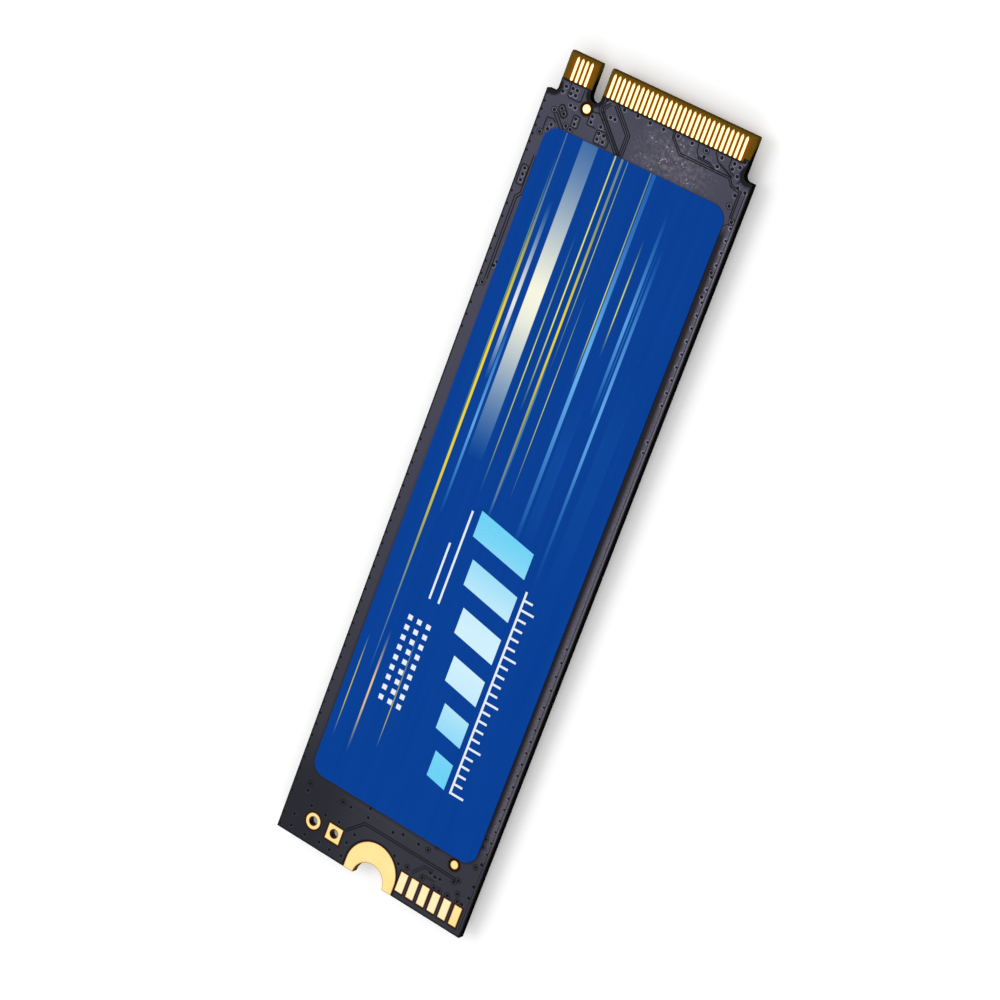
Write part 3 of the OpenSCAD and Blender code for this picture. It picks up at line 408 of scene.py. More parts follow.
def make_laminate():
    s = Shader("laminate", Specular_IOR_Level=0.0)
    weave = s.times(*[s.math("SINE", s.times(along, WEAVE)) for along in (s.x, s.y)])
    cloud = s.noise(1.6)
    face = s.mix(cloud, rgb(112, 64, 8), rgb(140, 84, 14))
    # Olive where there are no contacts: round the key notch, and along the tab's sides and end
    key_side = s.math("SUBTRACT", s.fit(s.x, -7.1, -6.8), s.fit(s.x, -5.1, -4.8))
    bare = s.math("MAXIMUM", s.fit(s.math("ABSOLUTE", s.x), 9.3, 9.7), key_side)
    bare = s.math("MAXIMUM", bare, s.fit(s.y, 39.5, 39.8))
    face = s.mix(bare, face, s.mix(cloud, rgb(80, 62, 16), rgb(108, 80, 22)))
    face = s.mix(s.fit(weave, -1, 1, 0, 0.2), face, rgb(134, 100, 36))
    face = s.mix(s.fit(s.y, 39.84, 39.98, 0, 0.6), face, rgb(44, 28, 6))
    # Off the tab, painted shade makes the laminate dark brown in the narrow gaps round the pads
    gap = s.mix(cloud, rgb(34, 14, 2), rgb(58, 26, 4))
    on_tab = s.fit(s.y, 37.25, 37.6)
    face = s.mix(on_tab, gap, face)
    # Upright walls: painted shade makes them near black, brown round the screw notch, and lighter olive
    # towards the top edge and on the tab, painted as lit
    layers = s.noise(1, place=s.stretched(0.6, 0.6, 14))
    shaded_wall = s.mix(layers, rgb(4, 4, 4), rgb(16, 14, 10))
    notch = s.fit(s.reach(0, SCREW_Y), 2.4, 2.0)
    shaded_wall = s.mix(notch, shaded_wall, s.mix(layers, rgb(54, 34, 10), rgb(110, 76, 26)))
    lit = s.math("ADD", s.z, s.fit(s.y, 37.3, 40, 0, 0.75))
    shaded_wall = s.mix(s.fit(lit, 1.96, 2.06), shaded_wall, s.mix(cloud, rgb(66, 50, 12), rgb(92, 68, 18)))
    s.set("Base Color", s.mix(s.faces_up(), shaded_wall, face))
    s.rough(cloud, 0.42, 0.6)
    s.bump(weave, 0.01, 0.5)
    return s.material


def make_mask():
    s = Shader("solder_mask", Specular_IOR_Level=0.1)
    cloud = s.noise(0.35, 4)
    fine = s.noise(5, 4, 0.7)
    colour = s.mix(cloud, rgb(60, 59, 74), rgb(72, 71, 88))
    colour = s.mix(s.fit(fine, 0.35, 0.75, 0, 0.3), colour, rgb(88, 87, 104))
    # Painted shade: darker towards the screw end, as the light falls off along the board
    colour = s.mix(s.fit(s.y, 25, -42, 0, 0.85), colour, rgb(43, 45, 53))
    corner = s.times(s.fit(s.x, 0, -8), s.fit(s.y, -27, -35, 0, 0.8))
    colour = s.mix(corner, colour, rgb(26, 28, 35))
    # The strip on the right has a painted shadow beside the label, and is pale further out
    upper = s.fit(s.z, 1.5, 1.7)
    strip = s.times(upper, s.fit(s.x, 9.5, 9.7), s.fit(s.y, 32.5, 30.5), s.fit(s.y, -33.5, -28))
    colour = s.mix(s.times(strip, s.fit(fine, 0.35, 0.7, 0.2, 0.6)), colour, rgb(122, 116, 131))
    inwards = s.math("SUBTRACT", s.x, s.fit(s.y, -14, 12, 0, 0.17))
    colour = s.mix(s.times(strip, s.fit(inwards, 10.48, 9.9, 0, 0.97)), colour, rgb(22, 18, 22))
    # Pale residue behind the contacts: a haze, and specks of two sizes
    off = s.off(3.2, 35.0)
    spot = s.times(s.fit(off[0], 5.5, 0.8), s.fit(off[1], 2.6, 0.9), upper)
    haze = s.fit(s.noise(2.6, 5, 0.75), 0.4, 0.7)
    colour = s.mix(s.times(haze, spot, 0.55), colour, rgb(136, 130, 140))
    for scale, radius in ((1.5, 0.22), (3.0, 0.3)):
        dust = s.times(s.specks(scale, radius), s.fit(s.noise(1.1), 0.48, 0.62))
        colour = s.mix(s.times(dust, spot, 0.9), colour, rgb(212, 206, 214))
    # Pale on lands, rims and ridges: partly the mask thinner over copper, partly painted highlight,
    # fainter towards the screw end
    tone = s.attribute("tone")
    pale = s.times(s.fit(tone, 0.0, 1.0, 0, 0.65), s.fit(s.y, -25, 30, 0.12, 1))
    colour = s.mix(pale, colour, rgb(142, 140, 160))
    shade = s.times(s.attribute("shade"), s.fit(s.y, 10, -20, 0, 0.8))
    colour = s.mix(shade, colour, rgb(22, 22, 28))
    # Near black in the via pits, painted shade in the holes, and dark along the grooves
    colour = s.mix(s.fit(tone, 0.0, -1.0), colour, rgb(1, 1, 3))
    # Painted shade: brown round each opening of the mask
    colour = s.mix(s.attribute("opening_shade"), colour, rgb(36, 17, 5))
    # Painted shade in a dark rim of the board, broad round the key notch and the shoulders, narrow on
    # the right
    far_right = s.times(s.fit(s.x, 10.5, 10.65), s.fit(s.x, 10.95, 10.88),
                        s.fit(s.y, 35.4, 35.0), s.fit(s.y, -39.7, -39.3))
    rim = s.times(s.fit(s.attribute("rim"), 0.0, 0.7), s.math("SUBTRACT", 1, far_right))
    for away, first, last in ((s.reach(*KEY_NOTCH_END), 1.15, 0.85),
                              (s.reach(*SHOULDER, mirrored=True), 1.1, 0.8)):
        rim = s.math("MAXIMUM", rim, s.fit(away, first, last))
    colour = s.mix(rim, colour, rgb(8, 8, 12))
    s.set("Base Color", colour)
    s.rough(fine, 0.4, 0.55)
    s.bump(s.noise(9, 3), 0.004, 0.6)
    return s.material


def make_gold(name="gold", around=None, square=False):
    """Gold pads, with painted shade along their edges, or round the outline and bore of one header pad.
    """
    s = Shader(name, Metallic=1.0)
    cloud = s.noise(0.8, 3)
    scuff = s.noise(1, 4, 0.65, s.stretched(14, 3, 3))
    colour = s.mix(cloud, rgb(252, 214, 128), rgb(255, 234, 170))
    colour = s.mix(s.fit(scuff, 0.55, 0.8, 0, 0.4), colour, rgb(226, 170, 84))
    # The test pads are paler, apart from the last
    pale = s.times(s.fit(s.x, 2.9, 3.1), s.fit(s.y, -36.0, -36.3), s.fit(s.x, 9.5, 8.8, 0, 0.5))
    colour = s.mix(pale, colour, rgb(255, 246, 214))
    # Painted shade on the pads' upright walls and in the bores
    shaded_wall = s.mix(cloud, rgb(30, 12, 4), rgb(70, 34, 10))
    edge = s.attribute("edge")
    if around:
        (x, y), half = around
        away = s.math("MAXIMUM", *s.off(x, y)) if square else s.reach(x, y)
        edge = s.math("MAXIMUM", s.fit(away, half - PAD_EDGE_W, half),
                      s.fit(s.reach(x, y), HEADER_BORE + PAD_EDGE_W, HEADER_BORE))
    # Painted shade, orange brown, along the edges
    colour = s.mix(edge, colour, rgb(140, 66, 8))
    s.set("Base Color", s.mix(s.faces_up(), shaded_wall, colour))
    s.set("Roughness", s.fit(scuff, 0.3, 0.8, 0.24, 0.42))
    s.bump(s.noise(7, 3), 0.006, 0.4)
    return s.material


def make_contact_gold(name, first_x):
    """Edge contacts: pale in the middle, with painted shade towards their sides, brown towards their
    tips.
    """
    s = Shader(name, Metallic=1.0)
    turn = s.math("DIVIDE", s.math("SUBTRACT", s.x, first_x), CONTACT_PITCH)
    off = s.math("ABSOLUTE", s.math("SUBTRACT", turn, s.math("ROUND", turn)))
    side = s.fit(off, 0.15, 0.31)
    wipe = s.noise(1, 4, 0.6, s.stretched(22, 1.2, 3))
    colour = s.mix(wipe, rgb(250, 222, 146), rgb(252, 234, 172))
    # Painted shade towards each contact's sides
    colour = s.mix(side, colour, rgb(150, 78, 10))
    colour = s.mix(s.fit(s.y, 39.35, 39.65, 0, 0.6), colour, rgb(150, 78, 10))
    s.set("Base Color", colour)
    s.set("Roughness", s.fit(wipe, 0.3, 0.8, 0.22, 0.4))
    s.bump(wipe, 0.004, 0.5)
    return s.material


def film_colour(s):
    """The label's blue with the faint long streaks that are printed all over it."""
    long_noise = s.noise(1, 3, 0.5, s.stretched(1.3, 0.05, 1))
    colour = s.mix(long_noise, rgb(1, 58, 142), rgb(6, 66, 153))
    return s.mix(s.fit(s.noise(24, 2), 0.35, 0.7, 0, 0.1), colour, rgb(12, 76, 164))


def make_film():
    s = Shader("label_film", Specular_IOR_Level=0.02)
    s.set("Base Color", film_colour(s))
    s.rough(s.noise(3), 0.4, 0.5)
    s.bump(s.noise(1.2, 4), 0.01, 0.35)
    return s.material


def make_streak_ink(name, faint=None):
    """Ink whose strength varies, with another ink where it is faint if one is named."""
    s = Shader(f"streak_{name}", Specular_IOR_Level=0.02)
    strength = s.attribute("ink")
    ink, weak = ((*[v / 255 for v in INKS[key]], 1.0) for key in (name, faint or name))
    ink = s.mix(s.fit(strength, 0.15, 0.65), weak, ink)
    screen = s.fit(s.noise(20, 2), 0.3, 0.7, 0.94, 1.0)
    s.set("Base Color", s.fade(s.times(strength, screen), film_colour(s), ink))
    s.rough(s.noise(3), 0.4, 0.5)
    return s.material


def make_bar_ink():
    s = Shader("bar_ink", Specular_IOR_Level=0.15)
    away = s.math("ABSOLUTE", s.math("SUBTRACT", s.y, BARS_Y))
    colour = s.mix(s.fit(away, 1.0, 12.5), rgb(205, 238, 252), rgb(92, 206, 244))
    s.set("Base Color", s.mix(s.fit(s.noise(20, 2), 0.35, 0.75, 0, 0.15), colour,
                              rgb(230, 246, 252)))
    s.rough(s.noise(3), 0.4, 0.5)
    return s.material


def make_white_ink():
    s = Shader("white_ink", Specular_IOR_Level=0.15)
    s.set("Base Color", s.mix(s.noise(20, 2), rgb(214, 228, 244), rgb(240, 246, 252)))
    s.rough(s.noise(3), 0.4, 0.5)
    return s.material


def make_mould():
    s = Shader("mould", Specular_IOR_Level=0.25)
    grain = s.fit(s.noise(16, 5, 0.75), 0.3, 0.7)
    s.set("Base Color", s.mix(grain, rgb(22, 22, 24), rgb(44, 44, 47)))
    s.rough(grain, 0.5, 0.75)
    s.bump(grain, 0.02, 0.7)
    return s.material


def make_substrate():
    s = Shader("substrate", Specular_IOR_Level=0.4)
    layers = s.noise(1, place=s.stretched(1, 1, 30))
    colour = s.mix(layers, rgb(20, 44, 30), rgb(44, 74, 46))
    s.set("Base Color", s.mix(s.fit(s.noise(4), 0.4, 0.7, 0, 0.4), colour, rgb(66, 84, 42)))
    s.rough(layers, 0.4, 0.6)
    s.bump(layers, 0.006, 0.5)
    return s.material


def make_cloudy(s, cloud, dark, light, rough, relief, strength):
    s.set("Base Color", s.mix(cloud, rgb(*dark), rgb(*light)))
    s.rough(cloud, rough, rough + 0.15)
    s.bump(cloud, relief, strength)
    return s.material


def make_metal(name, dark, light, rough, grain=6.0):
    s = Shader(name, Metallic=1.0)
    return make_cloudy(s, s.noise(grain, 4, 0.6), dark, light, rough, 0.008, 0.4)


def make_ceramic(name, dark, light, rough, grain=10.0):
    s = Shader(name, Specular_IOR_Level=0.4)
    return make_cloudy(s, s.noise(grain, 4, 0.65), dark, light, rough, 0.006, 0.5)


def make_floor():
    """Pale matt floor that looks white to the camera and in reflections, apart from shadows."""
    s = Shader("floor", Specular_IOR_Level=0.0, Roughness=0.9)
    paper = s.noise(0.05, 2)
    s.set("Base Color", s.mix(paper, rgb(248, 248, 249), rgb(251, 251, 251)))
    path = s.node("ShaderNodeLightPath")
    seen = s.math("MAXIMUM", path.outputs["Is Camera Ray"],
                  s.math("MAXIMUM", path.outputs["Is Glossy Ray"],
                         path.outputs["Is Transmission Ray"]))
    s.set("Emission Color", (1.0, 1.0, 1.0, 1.0))
    s.set("Emission Strength", s.times(seen, FLOOR_LIFT))
    below = s.node("ShaderNodeMixShader")
    s.join(s.node("ShaderNodeNewGeometry").outputs["Backfacing"], below.inputs[0])
    s.join(s.surface.outputs[0], below.inputs[1])
    s.join(s.node("ShaderNodeBsdfTransparent").outputs[0], below.inputs[2])
    s.join(below.outputs[0], s.tree.nodes["Material Output"].inputs["Surface"])
    return s.material


MATERIALS = {
    "laminate": make_laminate(),
    "solder_mask": make_mask(),
    "gold": make_gold(),
    "label_film": make_film(),
    "ink_yellow": make_streak_ink("yellow", "cream"),
    "ink_light_blue": make_streak_ink("blue"),
    "ink_cream": make_streak_ink("cream"),
    "ink_cyan": make_bar_ink(),
    "ink_white": make_white_ink(),
    "substrate": make_substrate(),
    "mould": make_mould(),
    "solder": make_metal("solder", (168, 170, 176), (226, 228, 232), 0.28),
    "ferrite": make_ceramic("ferrite", (40, 40, 44), (84, 84, 90), 0.55, 8),
    "ceramic_tan": make_ceramic("ceramic_tan", (142, 106, 66), (178, 142, 96), 0.42),
    "ceramic_white": make_ceramic("ceramic_white", (214, 212, 204), (238, 236, 230), 0.45),
    "coat_black": make_ceramic("coat_black", (16, 16, 18), (38, 38, 42), 0.3),
    "ceramic_dark": make_ceramic("ceramic_dark", (42, 40, 38), (70, 66, 62), 0.5),
    "steel_lid": make_metal("steel_lid", (150, 152, 156), (206, 208, 212), 0.3, 3),
}
# Inks of streaks that share another ink's slot
STREAK_INKS = {name: make_streak_ink(name) for name in ("peach", "lemon", "white")}


def middle(node):
    low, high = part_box(node)
    return ((low.x + high.x) / 2 / MM, (low.y + high.y) / 2 / MM), (high.x - low.x) / 2 / MM


OWN_MATERIALS = {
    "edge_contacts_label_side": make_contact_gold("contact_gold", CONTACT_X),
    "edge_contacts_component_side": make_contact_gold("contact_gold_below", CONTACT_X_BELOW),
    "header_pad_round": make_gold("round_pad_gold", middle("header_pad_round")),
    "header_pad_square": make_gold("square_pad_gold", middle("header_pad_square"), square=True),
}


# Mesh helpers


def add_object(name, data):
    made = bpy.data.objects.new(name, data)
    bpy.context.scene.collection.objects.link(made)
    return made


def add_piece(name, mesh, slot, *replaced, material=None):
    """Puts a mesh in the scene as a piece of the drive, in its slot's material unless one is given."""
    mesh.materials.append(material or MATERIALS[slot])
    piece = add_object(name, mesh)
    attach(piece, "root")
    if replaced:
        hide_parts(*replaced)


def mesh_from(name, points, faces):
    """A mesh from points in millimetres."""
    mesh = bpy.data.meshes.new(name)
    mesh.from_pydata([tuple(v * MM for v in p) for p in points], [], faces)
    mesh.update()
    return mesh


def finished(made, name):
    """The mesh of a bmesh that is needed no longer."""
    mesh = bpy.data.meshes.new(name)
    made.to_mesh(mesh)
    made.free()
    return mesh


def give_values(mesh, name, values):
    """Stores one number per point, for the material to read."""
    mesh.attributes.new(name, "FLOAT", "POINT").data.foreach_set("value", values)


def merged_copy(node):
    """A CAD node's mesh as a bmesh in which points at one place are one point."""
    made = bmesh.new()
    made.from_mesh(frame["nodes"][node].data)
    bmesh.ops.remove_doubles(made, verts=made.verts, dist=WELD * MM)
    return made


def rim_loops(node, up=True):
    """Outlines of a CAD plate's upper or lower face: closed lists of (x, y), inside on the left."""
    plate = merged_copy(node)
    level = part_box(node)[1 if up else 0].z
    # Dictionaries here and below, since a set's order would differ from run to run
    flat = dict.fromkeys(f for f in plate.faces
                         if all(abs(v.co.z - level) < LEVEL * MM for v in f.verts))
    rim = {}
    for face in flat:
        for loop in face.loops:
            if sum(f in flat for f in loop.edge.link_faces) == 1:
                rim[loop.vert] = loop.link_loop_next.vert
    loops = []
    while rim:
        vert = next(iter(rim))
        points = []
        while vert in rim:
            points.append((vert.co.x / MM, vert.co.y / MM))
            vert = rim.pop(vert)
        loops.append(points if up else points[::-1])
    plate.free()
    return loops


def inside(points, loops):
    """Which of the points lie inside the outlines, holes left out."""
    x, y = points[:, 0], points[:, 1]
    found = np.zeros(len(points), bool)
    for loop in loops:
        ends = np.roll(loop, -1, axis=0)
        for (ax, ay), (bx, by) in zip(loop, ends):
            if ay != by:
                crosses = ((ay > y) != (by > y)) & (x < (bx - ax) * (y - ay) / (by - ay) + ax)
                found ^= crosses
    return found


def parallel_paths(count, gap, path):
    """The path, or several that run beside it at equal distances."""
    path = np.array(path, float)
    step = np.diff(path, axis=0)
    step /= np.linalg.norm(step, axis=1)[:, None]
    normal = np.stack([-step[:, 1], step[:, 0]], axis=1)
    before, after = np.vstack([normal[:1], normal]), np.vstack([normal, normal[-1:]])
    miter = (before + after) / (1 + np.sum(before * after, axis=1))[:, None]
    return [path + miter * gap * (i - (count - 1) / 2) for i in range(count)]


def capsule(path, radius):
    """Closed outline at one distance round an open path."""
    outline = []
    for way in (path, path[::-1]):
        left = parallel_paths(2, 2 * radius, way)[0]
        outline += [tuple(p) for p in left]
        end, heading = way[-1], math.atan2(*(way[-1] - way[-2])[::-1])
        outline += [(end[0] + radius * math.cos(heading + t), end[1] + radius * math.sin(heading + t))
                    for t in CAP_TURNS]
    return outline


def distance_to_path(points, path):
    """Least distance from each point to an open path."""
    least = np.full(len(points), np.inf)
    for a, b in zip(path[:-1], path[1:]):
        along = np.clip((points - a) @ (b - a) / ((b - a) @ (b - a)), 0, 1)
        least = np.minimum(least, np.linalg.norm(points - a - along[:, None] * (b - a), axis=1))
    return least


def beside(loop, distance):
    """Closed outline at a distance to the left of a closed outline."""
    return parallel_paths(2, 2 * distance, [loop[-1], *loop, loop[0]])[1][1:-1].tolist()


def closeness(points, loop, reach):
    """1 on a closed outline, falling to 0 at a distance from it."""
    path = np.array([*loop, loop[0]])
    near = np.all((points > path.min(axis=0) - reach) & (points < path.max(axis=0) + reach), axis=1)
    close = np.zeros(len(points))
    close[near] = np.clip(1 - distance_to_path(points[near], path) / reach, 0, 1)
    return close


def circle(centre, radius, sides=VIA_SIDES):
    turns = [2 * math.pi * i / sides for i in range(sides)]
    return [(centre[0] + radius * math.cos(t), centre[1] + radius * math.sin(t)) for t in turns]


def edge_vias():
    for x, first, last, count in EDGE_ROWS:
        for y in np.linspace(first, last, count):
            yield (x, float(y))


# Solder mask with its relief


def relief_at(points, rounds, paths):
    """Height and tone of the mask's surface at each point. Pits and grooves win over rims."""
    low, high = np.zeros((len(points), 2)), np.zeros((len(points), 2))
    for centre, profile in rounds:
        away = np.linalg.norm(points - centre, axis=1)
        near = away < profile[-1][0]
        radii, *levels = zip(*profile)
        value = np.stack([np.interp(away[near], radii, level) for level in levels], axis=1)
        low[near] = np.minimum(low[near], value)
        high[near] = np.maximum(high[near], value)
    for path, (width, slope, *levels) in paths:
        away = distance_to_path(points, path)
        share = np.interp(away, [width / 2, width / 2 + slope], [1, 0])
        value = share[:, None] * levels
        low, high = np.minimum(low, value), np.maximum(high, value)
    return np.where(low < 0, low, high).T


def sheet_mesh(node, up, rims, lines, surface):
    """A CAD plate as a closed sheet whose outer face, upper or lower, follows extra lines.

    surface(points) gives each point's height over the plate's outer face, and named values."""
    inner, outer = (v.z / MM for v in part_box(node)[::1 if up else -1])
    points, edges = [], []
    for line in [*rims, *lines]:
        first = len(points)
        points += [Vector(p) for p in line]
        edges += [(first + i, first + (i + 1) % len(line)) for i in range(len(line))]
    flat, _, faces, *_ = delaunay_2d_cdt(points, edges, [], 0, CROSSING, False)
    flat = np.array([tuple(p) for p in flat])
    faces = np.array(faces)
    faces = faces[inside(flat[faces].mean(axis=1), rims)][:, ::1 if up else -1]
    height, values = surface(flat)
    count = len(flat)
    seen = {edge for a, b, c in faces for edge in ((a, b), (b, c), (c, a))}
    rim = [edge for edge in seen if edge[::-1] not in seen]
    walls = [(b, a, a + count, b + count) for a, b in sorted(rim)]
    under = [(c + count, b + count, a + count) for a, b, c in faces]
    solid = [(*p, outer + (h if up else -h)) for p, h in zip(flat, height)]
    solid += [(*p, inner) for p in flat]
    mesh = mesh_from(node, solid, [tuple(int(i) for i in f) for f in [*faces, *walls, *under]])
    for name, numbers in values.items():
        give_values(mesh, name, np.tile(numbers, 2))
    made = bmesh.new()
    made.from_mesh(mesh)
    bmesh.ops.delete(made, geom=[v for v in made.verts if not v.link_faces], context="VERTS")
    made.to_mesh(mesh)
    made.free()
    return mesh


def mask_mesh(node, up, rims, rounds, paths, label=None):
    """The mask layer of one side with pits, rims, grooves and ridges, with painted shadow round a label.
    """
    lines = [beside(rims[0], RIM_SHADE_W)] + [beside(loop, OPENING_SHADE_W) for loop in rims[1:]]
    for centre, profile in rounds:
        lines += [circle(centre, stop[0]) for stop in profile]
    for path, (width, slope, *_) in paths:
        lines += [capsule(path, width / 2), capsule(path, width / 2 + slope)]
    if label:
        lines += [label, beside(label, -SHADE_W)]

    def surface(points):
        height, tone = relief_at(points, rounds, paths)
        opening_shade = np.max([closeness(points, loop, OPENING_SHADE_W) for loop in rims[1:]], axis=0)
        shade = closeness(points, label, SHADE_W) if label else np.zeros(len(points))
        return height, {"tone": tone, "opening_shade": opening_shade, "shade": shade,
                        "rim": closeness(points, rims[0], RIM_SHADE_W)}

    return sheet_mesh(node, up, rims, lines, surface)


def pad_mesh(node, up):
    """Gold pads with rounded edges."""
    rims = rim_loops(node, up)
    lines = [beside(loop, PAD_EDGE_W * share) for loop in rims for share in (0.5, 1)]

    def surface(points):
        edge = np.max([closeness(points, loop, PAD_EDGE_W) for loop in rims], axis=0)
        return -PAD_EDGE_DROP * edge ** 2, {"edge": edge}

    return sheet_mesh(node, up, rims, lines, surface)


def mask_rims(node, up):
    """Outlines of a mask layer, its outer edge first."""
    return sorted(rim_loops(node, up), key=lambda loop: -np.ptp(np.array(loop)[:, 1]))


def dress_label_side():
    vias = VIAS + RINGED_VIAS
    rounds = [(v, VIA_HOLE) for v in vias]
    rounds += [((x + LAND_OFFSET[0], y + LAND_OFFSET[1]), VIA_LAND) for x, y in vias]
    rounds += [(v, VIA_RING) for v in RINGED_VIAS]
    rounds += [(v, EDGE_VIA_HOLE) for v in edge_vias()]
    rounds += [(v, EDGE_VIA_LAND) for v in edge_vias() if v[0] > 0]
    kinds = ((TRACES, GROOVE), (FINE_TRACES, FINE_GROOVE), (BROAD_TRACES, BROAD_GROOVE),
             (RIDGES, RIDGE))
    paths = [(p, kind) for traces, kind in kinds for t in traces for p in parallel_paths(*t)]
    node = "solder_mask_label_side"
    mesh = mask_mesh(node, True, mask_rims(node, True), rounds, paths, rim_loops("label_film")[0])
    add_piece("solder_mask_with_relief", mesh, "solder_mask", node)


def dress_component_side():
    """The vias go through the board, and show here where no land or chip pad is in the way."""
    node = "solder_mask_component_side"
    rims = mask_rims(node, False)
    paths = [p for t in UNDER_TRACES for p in parallel_paths(*t)]
    ends = [tuple(p[i]) for p in paths for i in (0, -1)]

    def clear(vias):
        at = np.array(vias)
        close = np.max([closeness(at, loop, VIA_CLEARANCE) for loop in rims[1:]], axis=0)
        return [v for v, ok in zip(vias, (close == 0) & inside(at, rims)) if ok]

    places = clear(VIAS + RINGED_VIAS) + ends
    rounds = [(v, profile) for profile in (VIA_HOLE, VIA_LAND) for v in places]
    rounds += [(v, EDGE_VIA_HOLE) for v in clear(list(edge_vias()))]
    mesh = mask_mesh(node, False, rims, rounds, [(p, GROOVE) for p in paths])
    add_piece("component_mask_with_relief", mesh, "solder_mask", node)


def round_pads():
    for node in ("screw_pad_label_side", "test_pads", "fiducial_dots_label_side",
                 "screw_pad_component_side", "fiducial_dots_component_side"):
        up = "component" not in node
        add_piece(f"{node}_rounded", pad_mesh(node, up), "gold", node)


# Printed streaks


def streak_mesh(streaks):
    """Low closed ribbons on the label, with the strength of the print at every point."""
    film = top_of("label_film")
    points, faces, ink = [], [], []
    side = [*STREAK_SIDE, *STREAK_SIDE[::-1]]
    ring = len(side) + 2
    for _, x, widths, strengths in streaks:
        widths = sorted(widths) if isinstance(widths, list) else [(0, widths)]
        ends = sorted(strengths)
        first = len(points)
        for y in np.linspace(ends[0][0], ends[-1][0], STREAK_STEPS):
            strong = float(np.interp(y, *zip(*ends)))
            width = float(np.interp(y, *zip(*widths)))
            soft = min(STREAK_SOFT, width / 3)
            half = [width / 2 - soft * i / (len(STREAK_SIDE) - 1) for i in range(len(STREAK_SIDE))]
            across = [-h for h in half] + half[::-1]
            points += [(x + off, y, film + STREAK_H) for off in across]
            points += [(x + off, y, film - STREAK_SUNK) for off in (across[-1], across[0])]
            ink += [strong * share for share in [*side, side[-1], side[0]]]
        for i in range(STREAK_STEPS - 1):
            for j in range(ring):
                a, b = (first + i * ring + k for k in (j, (j + 1) % ring))
                faces.append((a, b, b + ring, a + ring))
        faces += [tuple(range(first, first + ring))[::-1], tuple(range(len(points) - ring, len(points)))]
    mesh = mesh_from("streaks", points, faces)
    give_values(mesh, "ink", ink)
    return mesh


def print_streaks():
    for node, slot, inks in PRINTED_AS:
        for ink in inks:
            mesh = streak_mesh([s for s in STREAKS if s[0] == ink])
            add_piece(f"streaks_{ink}", mesh, slot, node, material=STREAK_INKS.get(ink))


# Chips and small parts


def solids_of(node):
    """Lowest and highest corner of each separate solid of a CAD node, in metres."""
    mesh = merged_copy(node)
    left = dict.fromkeys(mesh.verts)
    boxes = []
    while left:
        group, queue = [], [left.popitem()[0]]
        while queue:
            vert = queue.pop()
            group.append(vert.co.copy())
            for edge in vert.link_edges:
                other = edge.other_vert(vert)
                if other in left:
                    del left[other]
                    queue.append(other)
        boxes.append((Vector(map(min, *group)), Vector(map(max, *group))))
    mesh.free()
    return boxes


def soft_boxes(node, radius, segments=2):
    """Boxes in place of a CAD node's solids, with rounded edges."""
    made = bmesh.new()
    for low, high in solids_of(node):
        place = Matrix.LocRotScale((low + high) / 2, None, high - low)
        verts = bmesh.ops.create_cube(made, size=1.0, matrix=place)["verts"]
        edges = dict.fromkeys(e for v in verts for e in v.link_edges)
        bmesh.ops.bevel(made, geom=list(edges), offset=radius * MM, segments=segments,
                        profile=0.5, affect="EDGES")
    return finished(made, node)


# Moulded bodies: piece, radius of the dimple at pin one, its distance from the corner's sides
CHIPS = {
    "controller_mould": ("controller_moulding", 0.4, 1.1),
    "cache_mould": ("cache_moulding", 0.35, 1.0),
    "flash_1_mould": ("flash_1_moulding", 0.5, 1.3),
    "flash_2_mould": ("flash_2_moulding", 0.5, 1.3),
    "power_chip_body": ("power_chip_moulding", 0.2, 0.6),
    "boot_flash_body": ("boot_flash_moulding", 0.25, 0.7),
    "load_switch_body": ("load_switch_moulding", 0.15, 0.4),
}
CHIP_EDGE = 0.05  # radius of a moulded body's edges and upright corners
DIMPLE_DEPTH = 0.1
DIMPLE_SLOPE = 0.03
DIMPLE_SIDES = 32

# Terminals that stand on lands with solder at their ends, and the bodies between them
SOLDERED = {
    "small_capacitor_terminals": "small_capacitors",
    "large_capacitor_terminals": "large_capacitors",
    "resistor_terminals": "resistors",
}
SOLDER_CLIMB = 0.65  # share of a terminal's height
SOLDER_W = 0.84  # share of a terminal's width
SOLDER_STEPS = 5
SOLDER_SUNK = 0.01  # into the land and the terminal

# Box-shaped parts: piece, material slot, radius of the edges
SOFT_EDGES = {
    **{f"inductor_{i}": (f"inductor_core_{i}", "ferrite", 0.12) for i in (1, 2, 3, 4)},
    "inductor_terminals": ("inductor_feet", "solder", 0.03),
    "small_capacitors": ("small_capacitor_bodies", "ceramic_tan", 0.03),
    "small_capacitor_terminals": ("small_capacitor_caps", "solder", 0.05),
    "large_capacitors": ("large_capacitor_bodies", "ceramic_tan", 0.04),
    "large_capacitor_terminals": ("large_capacitor_caps", "solder", 0.07),
    "resistor_terminals": ("resistor_caps", "solder", 0.04),
    "crystal_base": ("crystal_ceramic", "ceramic_dark", 0.04),
    "crystal_lid": ("crystal_cover", "steel_lid", 0.06),
}


def soften_parts():
    for node, (piece, slot, radius) in SOFT_EDGES.items():
        add_piece(piece, soft_boxes(node, radius), slot, node)


def rounded_outline(node, radius, steps=4):
    """Outline of a CAD node's box with rounded corners."""
    low, high = (Vector((v.x, v.y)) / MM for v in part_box(node))
    centres = ((high.x - radius, high.y - radius), (low.x + radius, high.y - radius),
               (low.x + radius, low.y + radius), (high.x - radius, low.y + radius))
    turns = [(c, math.pi / 2 * (i + j / steps)) for i, c in enumerate(centres)
             for j in range(steps + 1)]
    return [(x + radius * math.cos(t), y + radius * math.sin(t)) for (x, y), t in turns]


